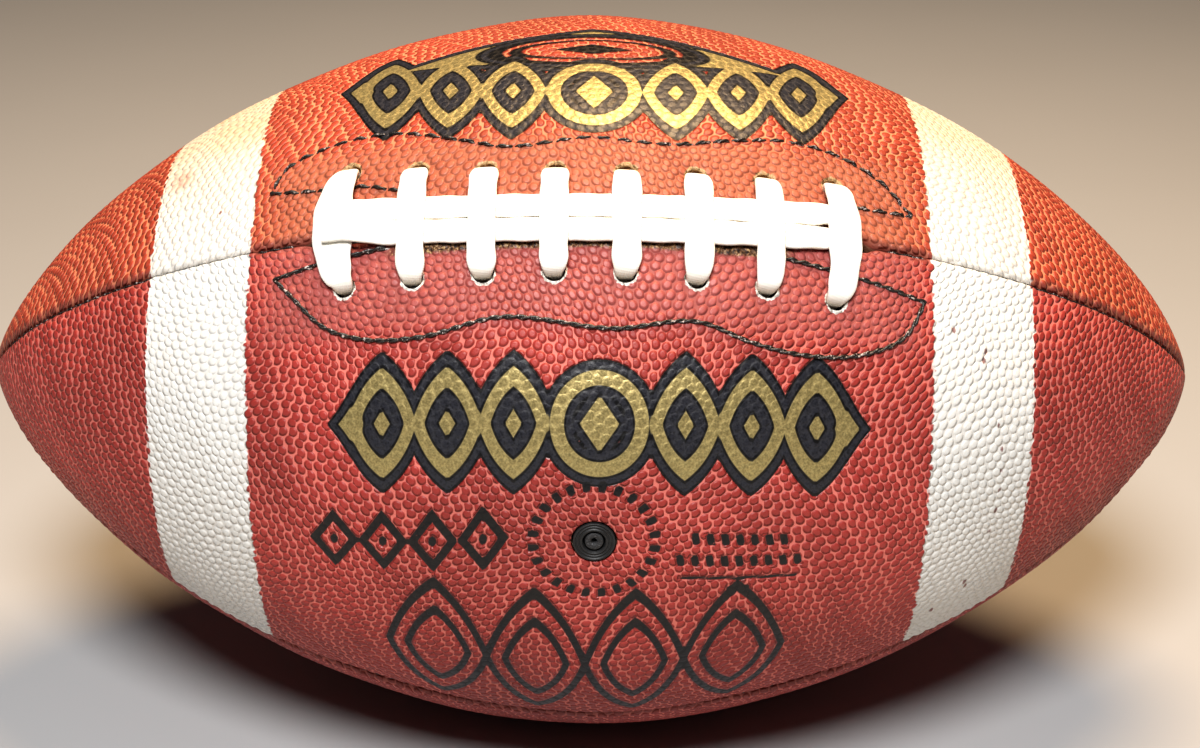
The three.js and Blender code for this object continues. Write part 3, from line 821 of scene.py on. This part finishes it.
def stitch_line(side, step):
    """The stitching round one facing, as x and angle rows: sharp at its two corners, curved elsewhere."""
    parts = (np.array(part, float) for part in STITCHING[side])
    first, *others = (smooth_line(distances_along(part), part, step) for part in parts)
    line = np.vstack([first, *(part[1:] for part in others)])
    return np.stack([line[:, 0], LACE_ANGLE + side * line[:, 1] / radius_at(line[:, 0])], 1)


LAID_STITCH = 2.8  # length of a stitch round the lower facing
SUNK_STITCH = 4.2  # length of a stitch round the upper facing


def make_stitching(side, material):
    """A facing's stitching. The lower one is a laid rope, the upper one dips under between its stitches."""
    line = stitch_line(side, 0.35)
    run = distances_along(surface(line[:, 0], line[:, 1], 0))
    if side < 0:
        heights = 0.32 + 0.14 * np.sin(run * 2 * np.pi / LAID_STITCH)
        radius, twist = 0.54, 2 * LAID_STITCH
    else:
        heights = 1.25 * np.abs(np.sin(run * np.pi / SUNK_STITCH)) ** 0.6 - 0.85
        radius, twist = 0.44, SUNK_STITCH
    heights -= 1.8 * (1 - smooth(0, 2.5, np.minimum(run, run[-1] - run)))  # both ends go in under the leather
    place = "lower" if side < 0 else "upper"
    obj = twisted_thread(place + "_stitching", line, heights, material, radius, twist)
    settle(obj, place + "_facing_stitches")


# Each seam's angle in degrees, and the x where its thread starts and ends.
SEAM_THREADS = {
    "back_seam_thread": (135, -138, 138),
    "under_seam_thread": (225, -138, 138),
    "front_seam_thread": (-45, -138, 138),
    "left_lace_seam_thread": (45, -138, -63),
    "right_lace_seam_thread": (45, 63, 138),
}


def make_seam_thread(node, material):
    """A seam's thread lies down in the seam and rises a little at every stitch, but not under the paint."""
    degrees, start, end = SEAM_THREADS[node]
    table_x, table_arc = arc_table()
    run = np.arange(*np.interp([start, end], table_x, table_arc), 0.45)
    x = np.interp(run, table_arc, table_x)
    line = np.stack([x, np.full_like(x, math.radians(degrees))], 1)
    heights = -1.6 + 0.5 * np.abs(np.sin(run * np.pi / SEAM_STITCH)) ** 1.5 - 0.9 * painted_part(x)
    name = node.replace("thread", "stitches")
    obj = twisted_thread(name, line, heights, material, radius=0.33, twist=1.7, sides=6)
    settle(obj, node)


# ---- Valve ----
def turned_about_valve(profile, sides):
    """Rings of points: a profile of radius and depth pairs turned about the valve's axis."""
    radius, depth = np.array(profile, float).T
    x, up = radius[:, None] * np.cos(circle(sides)), radius[:, None] * np.sin(circle(sides))
    out = (HALF_GIRTH - depth)[:, None]
    c, s = math.cos(VALVE_ANGLE), math.sin(VALVE_ANGLE)
    return np.stack([x + VALVE_X, up * s - out * c, AXIS_HEIGHT + up * c + out * s], -1)


def make_valve(rubber, core):
    """The valve's rubber ring with turned ridges, and the plug in it with its needle hole."""
    ridge_width = 0.62
    radius = np.linspace(4.35, 2.5, 38)
    crown = 0.34 - 0.16 * ((radius - 3.4) / 0.9) ** 2
    face = np.stack([radius, crown + 0.10 * np.cos((radius - 2.5) * 2 * np.pi / ridge_width)], 1)
    housing = [  # the stem's bore and outside, the flange under the leather, and the ridged face
        [2.3, 17], [4.4, 17], [4.4, 5.1], [6.6, 5.1], [6.6, 4.5], [4.4, 4.5], [4.4, 0.75], *face.tolist(),
        [2.32, 0.55], [2.3, 0.9],
    ]
    sides = 72
    points = turned_about_valve(housing, sides)
    faces = ring_faces(len(housing), sides)
    closing = faces[:sides, [0, 1]]
    closing = np.hstack([closing + (len(housing) - 1) * sides, closing[:, ::-1]])
    ring = mesh_object("valve_rubber", points, faces.tolist() + closing.tolist(), rubber, 40)
    point_outwards(ring.data)
    plug_rings = turned_about_valve([
        [0.3, 15], [1.95, 15], [1.95, 0.75], [1.86, 0.5], [1.6, 0.36], [1.2, 0.42], [0.85, 0.5],
        [0.62, 0.75], [0.5, 1.6], [0.3, 2.6],
    ], 48)
    plug = tube_object("valve_core", plug_rings[None], core, 40)
    settle(ring, "valve_housing")
    settle(plug, "valve_plug")


# ---- Material nodes ----
def maths(operation, swapped=False):
    """A Field method that adds one Math node."""

    def add_node(first, *others):
        values = (*others, first) if swapped else (first, *others)
        return first.finish.node("ShaderNodeMath", {"operation": operation}, values)

    return add_node


class Field:
    """A value that changes over a surface. Arithmetic on it adds Math nodes to its material."""

    def __init__(self, finish, socket):
        self.finish = finish
        self.socket = socket

    __add__ = __radd__ = maths("ADD")
    __sub__ = maths("SUBTRACT")
    __rsub__ = maths("SUBTRACT", swapped=True)
    __mul__ = __rmul__ = maths("MULTIPLY")
    __truediv__ = maths("DIVIDE")
    __abs__ = maths("ABSOLUTE")
    sin = maths("SINE")
    round = maths("ROUND")
    minimum = maths("MINIMUM")
    maximum = maths("MAXIMUM")

    def split(self):
        """The three numbers of a vector."""
        parts = self.finish.node("ShaderNodeSeparateXYZ", {}, [self]).socket.node.outputs
        return [Field(self.finish, part) for part in parts]


def step_up(value, low, high):
    """0 below low and 1 above high, smooth between. With low above high it falls instead."""
    settings = {"interpolation_type": "SMOOTHSTEP"}
    return value.finish.node("ShaderNodeMapRange", settings, [value, low, high, 0.0, 1.0])


class Finish:
    """One material: its Principled shader and the nodes that feed it. settings are its constant sockets."""

    def __init__(self, name, settings):
        self.material = bpy.data.materials.new(name)
        self.material.use_nodes = True
        self.tree = self.material.node_tree
        self.shader = self.tree.nodes["Principled BSDF"]
        for socket, value in settings.items():
            self.shader.inputs[socket].default_value = value

    def node(self, kind, settings, inputs=(), output=0):
        """Any node: its type, its settings, a ramp's stops among them, and its sockets' values or links."""
        made = self.tree.nodes.new(kind)
        for name, value in settings.items():
            if name == "stops":
                elements = made.color_ramp.elements
                elements.remove(elements[0])
                for position, shade in value:
                    elements.new(position).color = (*shade, 1)
                elements.remove(elements[-1])
            else:
                setattr(made, name, value)
        for key, value in inputs.items() if isinstance(inputs, dict) else enumerate(inputs):
            if isinstance(value, Field):
                self.tree.links.new(value.socket, made.inputs[key])
            else:
                made.inputs[key].default_value = value
        return Field(self, made.outputs[output])

    def attribute(self, name):
        return self.node("ShaderNodeAttribute", {"attribute_name": name}, output=1)

    def object_mm(self):
        """Object coordinates in millimetres."""
        place = self.node("ShaderNodeTexCoord", {}, output=3)
        return self.node("ShaderNodeVectorMath", {"operation": "SCALE"}, {0: place, 3: 1000.0})

    def noise(self, place, size, detail=2.0, roughness=0.5):
        """Cloudy noise from 0 to 1 whose lumps are about size millimetres across."""
        inputs = {"Vector": place, "Scale": 1 / size, "Detail": detail, "Roughness": roughness}
        return self.node("ShaderNodeTexNoise", {}, inputs)

    def blend(self, factor, low, high):
        """low where factor is 0 and high where it is 1."""
        low, high = ((*c, 1) if isinstance(c, tuple) else c for c in (low, high))
        return self.node("ShaderNodeMix", {"data_type": "RGBA"}, {0: factor, 6: low, 7: high}, 2)

    def link(self, socket, field):
        self.tree.links.new(field.socket, self.shader.inputs[socket])

    def finished(self, shade, roughness, height=None):
        """Links the colour, the roughness and the relief in millimetres, and gives the material."""
        self.link("Base Color", shade)
        self.link("Roughness", roughness)
        if height is not None:
            bump = self.node("ShaderNodeBump", {}, {"Strength": 1.0, "Distance": MM, "Height": height})
            self.link("Normal", bump)
        return self.material


def fade(colour_value, factor):
    """A colour made darker or lighter."""
    return tuple(min(1.0, part * factor) for part in colour_value)


def with_painted_warm_light(shade, lace_side):
    """A leather colour with painted warm light: the top panel's, where lace_side is -1, is made more orange,
    as the warm light from above makes it look.
    """
    tint = (1.10, 1.38, 0.88) if lace_side < 0 else (1, 1, 1)
    return tuple(part * more for part, more in zip(shade, tint))


# ---- Finishes ----
def leather_finish(name, lace_side):
    """Pebbled leather. lace_side is 1 or -1 where the lace is at a panel's upper or lower edge, else 0."""
    ball, shades = sizes(), colours()
    skin = Finish(name, {"Specular IOR Level": 0.45})
    along, around, _ = skin.attribute("place").split()
    rim, below, seam = skin.attribute("wear_and_seam_shade").split()
    where = skin.object_mm()
    x = where.split()[0]
    pitch = ball.pebble_pitch / MM
    square = pebble_distance(along / pitch, around / pitch, Field)
    dome = step_up(square, 0.30, 0.04)
    slow, patchy = skin.noise(where, 38.0), skin.noise(where, 7.0, 3.0)
    grain = skin.noise(where, 0.45, 3.0, 0.6)

    # The lace panels' leather colours, with painted warm light on the top panel.
    dome_shade, net_shade = with_painted_warm_light(shades.dome, lace_side), with_painted_warm_light(shades.net, lace_side)
    top = skin.blend(step_up(slow, 0.35, 0.65), fade(dome_shade, 0.86), fade(dome_shade, 1.14))
    top = skin.blend(step_up(patchy, 0.45, 0.75) * 0.5, top, fade(dome_shade, 0.7))
    net = skin.blend(step_up(slow, 0.35, 0.65), fade(net_shade, 0.88), fade(net_shade, 1.08))
    leather = skin.blend(step_up(square, 0.32, 0.17), net, top)
    face = step_up(below, 1.2, 0.6)
    height = dome * 0.42 * face
    if lace_side:
        gold_distance, ink_distance, specks = skin.attribute("marks").split()
        leather = near_lace_shade(skin, leather, square, lace_side, x, seam, around, patchy)
        paint = painted(skin, x, dome)
        leather = skin.blend(paint, leather, stripe_paint(skin, square, patchy, specks))
        leather = printed_marks(skin, leather, gold_distance, ink_distance, grain)
        leather = torn_edge(skin, leather, lace_side, x, seam, around, grain, patchy)
        leather = bare_rims(skin, leather, lace_side, rim, below, grain)
        pressed = step_up(gold_distance, 2.3, 1.9).maximum(step_up(ink_distance, 0.4, 0.0))
        gold = step_up(gold_distance, 0.14, -0.14)
        skin.link("Metallic", gold * 0.6)
        height = height * (1 - paint * 0.35) * (1 - pressed * 0.85) - pressed * 0.10
    # Painted shade: the leather is darkened along the seam valleys, except on the paint.
    crease = step_up(seam + (grain - 0.5) * 0.5, 2.4, 0.4)
    if lace_side:
        crease = crease * (1 - paint)
    leather = skin.blend(crease * 0.6, leather, (0.20, 0.065, 0.056))
    raw_side = skin.blend(step_up(grain, 0.3, 0.7), (0.30, 0.16, 0.10), (0.42, 0.25, 0.17))
    leather = skin.blend(step_up(below, 1.7, 2.0), leather, raw_side)
    rough = 0.47 + (1 - dome) * 0.18 + (grain - 0.5) * 0.16 + step_up(below, 1.5, 1.9) * 0.3
    height = height + (grain - 0.5) * 0.05 + (patchy - 0.5) * 0.10
    return skin.finished(leather, rough - pressed * 0.14 if lace_side else rough, height)


def near_lace_shade(skin, leather, square, lace_side, x, seam, around, patchy):
    """Inside the stitching the leather is paler and pinker, and its pebbles stand out less."""
    beside = step_up(seam, 25.0, 17.0) * step_up(around * lace_side, -2.0, 2.0) * step_up(abs(x), 74.0, 62.0)
    shades = (0.370, 0.095, 0.085), (0.315, 0.072, 0.064), (0.27, 0.060, 0.050)
    # Painted warm light on the top panel here too.
    pale, deep, valley = (with_painted_warm_light(shade, lace_side) for shade in shades)
    soft_top = skin.blend(step_up(patchy, 0.4, 0.7), pale, deep)
    soft = skin.blend(step_up(square, 0.31, 0.19), valley, soft_top)
    return skin.blend(beside * 0.85, leather, soft)


def painted(skin, x, dome):
    """1 on the two painted stripes: a ring about each end, with edges that follow the pebbles."""
    ball = sizes()
    middle, half = ((ball.stripe_outer + part * ball.stripe_inner) / 2 / MM for part in (1, -1))
    jag = (skin.noise(skin.object_mm(), 1.6, 1.0) - 0.5) * 1.6 + (dome - 0.5) * 0.35
    return step_up(abs(abs(x) - middle) - half + jag, 0.18, -0.18)


def stripe_paint(skin, square, patchy, specks):
    """The stripes' paint: dirty in patches, with painted shade between its pebbles, yellowed, smudged and
    specked.
    """
    # Dirt in patches, and painted shade between the pebbles.
    dirt_and_shade = step_up(patchy, 0.52, 0.8) * 0.22 + step_up(square, 0.16, 0.34) * 0.20
    yellow, smudge, _ = skin.attribute("stains_and_warm_light").split()
    white = skin.blend(dirt_and_shade, tuple(colours().paint), (0.62, 0.56, 0.50))
    # Yellowed by a stain, and on the top panel by painted warm light.
    white = skin.blend(yellow * (0.55 + patchy * 0.5), white, (0.66, 0.47, 0.28))
    white = skin.blend(smudge * patchy, white, (0.66, 0.28, 0.20))
    return skin.blend(step_up(specks, 0.12, -0.12) * 0.85, white, (0.16, 0.04, 0.035))


def bare_rims(skin, leather, lace_side, rim, below, grain):
    """Ragged rims of bare leather at the lace holes: pale under the seam, brown over it."""
    bare = (0.86, 0.82, 0.74) if lace_side > 0 else (0.50, 0.33, 0.17)
    raw = skin.blend(step_up(grain, 0.35, 0.65), fade(bare, 0.55), bare)
    ragged = rim + (skin.noise(skin.object_mm(), 1.2, 3.0, 0.6) - 0.5) * 1.4
    return skin.blend(step_up(ragged, 0.42, 0.22) * step_up(below, 2.4, 0.6), leather, raw)


def printed_marks(skin, leather, gold_distance, ink_distance, grain):
    """Gold foil with a thin black line round it and a dusty black band round that, and plain black ink."""
    ink_shade, foil_shade = tuple(colours().ink), tuple(colours().foil)
    edge = (grain - 0.5) * 0.25
    band = step_up(gold_distance + edge, 2.1, 1.9)
    dusty = step_up(abs(gold_distance - 1.0), 0.60, 0.45) * step_up(grain, 0.2, 0.6)
    black = skin.blend(dusty, ink_shade, (0.024, 0.025, 0.033))
    leather = skin.blend(band, leather, black)
    worn = 1 - step_up(grain, 0.62, 0.76) * 0.12
    leather = skin.blend(step_up(ink_distance + edge, 0.15, -0.15) * worn, leather, ink_shade)
    foil = skin.blend(step_up(grain, 0.3, 0.7), fade(foil_shade, 0.70), fade(foil_shade, 1.2))
    return skin.blend(step_up(gold_distance + edge * 0.5, 0.12, -0.12), leather, foil)


def torn_edge(skin, leather, lace_side, x, seam, around, grain, patchy):
    """Raw, gritty leather with gold-brown fibre along the lace opening, worn through under the strands, and
    near-black painted shadow under the strands.
    """
    reach = 6.0 if lace_side > 0 else 1.6
    lip = step_up(seam + (grain - 0.5) * 1.2 + (patchy - 0.5) * 1.2, reach + 0.5, reach - 0.5)
    open_part = step_up(abs(x), 43.0, 39.0) * step_up(around * lace_side, 0.0, 4.0)
    grit = skin.noise(skin.object_mm(), 0.7, 4.0, 0.75)
    # The near-black stop is painted shadow under the strands; the brown and gold stops are the raw leather.
    fibres_and_shadow = skin.node("ShaderNodeValToRGB", {"stops": [
        (0.42, (0.020, 0.012, 0.010)), (0.55, (0.20, 0.10, 0.045)), (0.66, (0.62, 0.45, 0.22)),
    ]}, [grit])
    return skin.blend(lip * open_part, leather, fibres_and_shadow)


def lace_finish():
    """Smooth white lace with a faint weave, yellowed a little and dirty in patches, with painted shade that
    darkens it the lower it lies, most where it enters the leather.
    """
    cord = Finish("lace_cord", {"Specular IOR Level": 0.4})
    run, across, height = cord.attribute("route").split()
    where = cord.object_mm()
    cloud, grain = cord.noise(where, 5.0, 3.0), cord.noise(where, 0.35, 2.0)
    white = tuple(colours().lace)
    shade = cord.blend(step_up(cloud, 0.45, 0.8) * 0.5, white, (0.80, 0.73, 0.58))
    # Painted shade the lower the cord lies, and dirt in patches.
    dirt_and_shade = step_up(height, 1.4, -0.6) * 0.45 + step_up(cloud, 0.55, 0.8) * 0.12
    shade = cord.blend(dirt_and_shade, shade, (0.52, 0.42, 0.30))
    weave = (run * 9.0 + across * 7.0).sin() * (across * 8.0 - run * 5.0).sin()
    shade = cord.blend(step_up(weave, 0.5, 1.0) * 0.06, shade, (0.5, 0.46, 0.38))
    height = weave * 0.02 + (grain - 0.5) * 0.03 + (cloud - 0.5) * 0.08
    return cord.finished(shade, 0.46 + (cloud - 0.5) * 0.2 + (grain - 0.5) * 0.1, height)


def thread_finish():
    """Waxed black thread with painted grey glints."""
    thread = Finish("dark_thread", {"Specular IOR Level": 0.55})
    where = thread.object_mm()
    fibre, painted_glint = thread.noise(where, 0.16, 2.0), thread.noise(where, 0.8, 2.0, 0.6)
    shade = thread.blend(step_up(fibre, 0.5, 0.72), tuple(colours().thread), (0.045, 0.04, 0.038))
    # Painted glints: pale flecks over the black thread.
    shade = thread.blend(step_up(painted_glint, 0.60, 0.66) * 0.75, shade, (0.58, 0.50, 0.47))
    return thread.finished(shade, 0.26 + fibre * 0.26, fibre * 0.06)


def rubber_finish(name, shade, gritty):
    """Black rubber: smooth with a dull bloom, or rough and glinting."""
    rubber = Finish(name, {"Specular IOR Level": 0.5})
    where = rubber.object_mm()
    bloom, grain = rubber.noise(where, 6.0 - 4.5 * gritty, 3.0, 0.6), rubber.noise(where, 0.28, 3.0, 0.65)
    tone = rubber.blend(step_up(bloom, 0.4, 0.7), fade(shade, 0.6), shade)
    glint = step_up(grain, 0.60 - 0.06 * gritty, 0.74) * (0.25 + 0.5 * gritty)
    tone = rubber.blend(glint, tone, fade(shade, 7.0))
    return rubber.finished(tone, 0.36 + bloom * 0.2 + grain * 0.12, (grain - 0.5) * (0.05 + 0.16 * gritty))


def cloth_finish():
    """Plain-woven lining cloth, glued and a little stained."""
    cloth = Finish("lining_cloth", {"Specular IOR Level": 0.2})
    where = cloth.object_mm()
    x, y, z = where.split()
    up = (x * 5.2).sin() * ((y + z) * 5.2).sin()
    stain = cloth.noise(where, 14.0, 3.0)
    shade = cloth.blend(step_up(up, -0.4, 0.7), (0.40, 0.33, 0.23), (0.62, 0.54, 0.41))
    shade = cloth.blend(step_up(stain, 0.5, 0.8) * 0.5, shade, (0.30, 0.20, 0.12))
    return cloth.finished(shade, 0.84 + stain * 0.12, up * 0.12)


def suede_finish():
    """Undyed facing leather with a napped surface."""
    suede = Finish("facing_leather", {"Specular IOR Level": 0.2})
    where = suede.object_mm()
    nap, patch = suede.noise(where, 0.5, 4.0, 0.7), suede.noise(where, 9.0)
    shade = suede.blend(step_up(nap, 0.35, 0.7), (0.24, 0.13, 0.07), (0.50, 0.32, 0.19))
    shade = suede.blend(step_up(patch, 0.5, 0.8) * 0.5, shade, (0.20, 0.10, 0.05))
    return suede.finished(shade, 0.80 + patch * 0.15, nap * 0.14)


def floor_finish():
    """A matt pale floor with the faintest mottling."""
    floor = Finish("studio_floor", {"Specular IOR Level": 0.2})
    pale = tuple(colours().floor)
    cloud = floor.noise(floor.object_mm(), 120.0, 2.0)
    return floor.finished(floor.blend(cloud, fade(pale, 0.98), fade(pale, 1.02)), 0.78 + cloud * 0.1)


# ---- Studio ----
def make_floor(material):
    """A floor that curves up behind into a backdrop: flat, then a quarter circle, then upright."""
    bend, front, back, high = 900.0, -1600.0, 1500.0, 1500.0
    turn = np.linspace(0, np.pi / 2, 25)
    y = np.concatenate([[front], back + bend * np.sin(turn), [back + bend]])
    z = np.concatenate([[0.0], bend * (1 - np.cos(turn)), [high]])
    x = np.linspace(-2600, 2600, 3)
    points = np.stack(np.broadcast_arrays(x[None], y[:, None], z[:, None]), -1)
    a = np.concatenate([np.arange(0, 3 * len(y) - 3, 3), np.arange(1, 3 * len(y) - 3, 3)])
    floor = mesh_object("studio_floor", points, np.stack([a, a + 1, a + 4, a + 3], -1).tolist(), material)


def aimed(place, target, roll=0.0):
    """A matrix at place whose -Z looks at target, level but for a small roll."""
    back = (place - target).normalized()
    right = Vector((0, 0, 1)).cross(back).normalized()
    up = back.cross(right)
    right, up = right * math.cos(roll) + up * math.sin(roll), up * math.cos(roll) - right * math.sin(roll)
    return Matrix([*zip(right, up, back, place), (0, 0, 0, 1)])


def add_light(name, place, target, size, power, tint):
    light = bpy.data.lights.new(name, "AREA")
    light.shape = "DISK"
    light.size, light.energy, light.color = size, power, tint
    lamp = bpy.data.objects.new(name, light)
    lamp.matrix_world = aimed(Vector(place), Vector(target))
    bpy.context.scene.collection.objects.link(lamp)


def make_camera():
    """A camera in front of the ball that looks a little down on it."""
    centre = Vector((0, 0, AXIS_HEIGHT * MM))
    elevation, swing, away = math.radians(23.5), 0.0044, 0.5087
    flat = math.cos(elevation)
    side = Vector((math.sin(swing) * flat, -math.cos(swing) * flat, math.sin(elevation)))
    camera = bpy.data.cameras.new("camera")
    camera.sensor_width, camera.lens = 36.0, 63.33
    camera.shift_x, camera.shift_y = 0.0077, -0.0032
    camera.clip_start = 0.01
    holder = bpy.data.objects.new("camera", camera)
    holder.matrix_world = aimed(centre + side * away, centre, 0.007)
    bpy.context.scene.collection.objects.link(holder)
    bpy.context.scene.camera = holder


# ---- Operators ----
class FOOTBALL_OT_panels(bpy.types.Operator):
    """Builds the four leather panels with their stripes and marks"""

    bl_idname = "football.panels"
    bl_label = "Leather Panels"

    def execute(self, context):
        plain = leather_finish("plain_leather", 0)
        for name, (_, lace_side) in PANELS.items():
            finish = leather_finish(name.replace("panel", "leather"), lace_side) if lace_side else plain
            make_panel(name, finish)
        return {"FINISHED"}


class FOOTBALL_OT_lace(bpy.types.Operator):
    """Builds the lace, one cord through all its holes"""

    bl_idname = "football.lace"
    bl_label = "Lace"

    def execute(self, context):
        make_lace(lace_finish())
        return {"FINISHED"}


class FOOTBALL_OT_threads(bpy.types.Operator):
    """Builds the facing stitching and the seam threads"""

    bl_idname = "football.threads"
    bl_label = "Threads"

    def execute(self, context):
        thread = thread_finish()
        make_stitching(-1, thread)
        make_stitching(1, thread)
        for node in SEAM_THREADS:
            make_seam_thread(node, thread)
        return {"FINISHED"}


class FOOTBALL_OT_valve(bpy.types.Operator):
    """Builds the valve and its plug"""

    bl_idname = "football.valve"
    bl_label = "Valve"

    def execute(self, context):
        rubber = rubber_finish("valve_rubber", (0.020, 0.020, 0.021), 0.0)
        make_valve(rubber, rubber_finish("valve_core", (0.030, 0.030, 0.032), 1.0))
        return {"FINISHED"}


class FOOTBALL_OT_inner_parts(bpy.types.Operator):
    """Finishes the linings, the facings and the bladder inside the ball"""

    bl_idname = "football.inner_parts"
    bl_label = "Inner Parts"

    def execute(self, context):
        cloth, suede = cloth_finish(), suede_finish()
        bladder = rubber_finish("bladder_rubber", (0.032, 0.031, 0.031), 0.0)
        finishes = {"lining": cloth, "facing": suede, "bladder": bladder}
        for name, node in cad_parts.items():
            finish = finishes.get(name.split("_")[-1])
            if finish:
                for slot in node.material_slots:
                    slot.material = finish
        return {"FINISHED"}


class FOOTBALL_OT_studio(bpy.types.Operator):
    """Builds the floor, the lights and the camera"""

    bl_idname = "football.studio"
    bl_label = "Studio"

    def execute(self, context):
        make_floor(floor_finish())
        world = bpy.data.worlds.new("studio")
        world.use_nodes = True
        background = world.node_tree.nodes["Background"].inputs
        background["Color"].default_value = (0.80, 0.84, 0.90, 1)
        background["Strength"].default_value = 0.03
        context.scene.world = world
        context.scene.view_settings.view_transform = "Standard"
        context.scene.view_settings.look = "Medium High Contrast"
        middle = (0, 0, 0.09)
        add_light("over_light", (0.12, 0.15, 0.90), middle, 0.40, 8.6, (1.0, 0.68, 0.38))
        add_light("front_light", (-0.04, -0.58, 0.84), middle, 0.35, 11.8, (1.0, 0.99, 0.98))
        make_camera()
        return {"FINISHED"}


class FOOTBALL_PT_tools(bpy.types.Panel):
    """Lists the football's sizes, colours and pieces"""

    bl_idname = "FOOTBALL_PT_tools"
    bl_label = "Laced Football"
    bl_space_type = "VIEW_3D"
    bl_region_type = "UI"
    bl_category = "Football"

    def draw(self, context):
        for group in (getattr(context.scene, name) for name in GROUPS):
            box = self.layout.box()
            for name in group.bl_rna.properties.keys()[2:]:
                box.prop(group, name)
        for operator in OPERATORS:
            self.layout.operator(operator.bl_idname)


OPERATORS = (
    FOOTBALL_OT_panels, FOOTBALL_OT_lace, FOOTBALL_OT_threads, FOOTBALL_OT_valve, FOOTBALL_OT_inner_parts,
    FOOTBALL_OT_studio,
)
GROUPS = {"football_sizes": BallSizes, "football_lace": LaceSizes, "football_colours": BallColours}


def register():
    for item in (*GROUPS.values(), *OPERATORS, FOOTBALL_PT_tools):
        bpy.utils.register_class(item)
    for name, group in GROUPS.items():
        setattr(bpy.types.Scene, name, PointerProperty(type=group))


def unregister():
    for name in GROUPS:
        delattr(bpy.types.Scene, name)
    for item in (FOOTBALL_PT_tools, *reversed(OPERATORS), *GROUPS.values()):
        bpy.utils.unregister_class(item)


def main():
    register()
    bpy.ops.football.panels()
    bpy.ops.football.lace()
    bpy.ops.football.threads()
    bpy.ops.football.valve()
    bpy.ops.football.inner_parts()
    bpy.ops.football.studio()


if __name__ == "__main__":
    main()
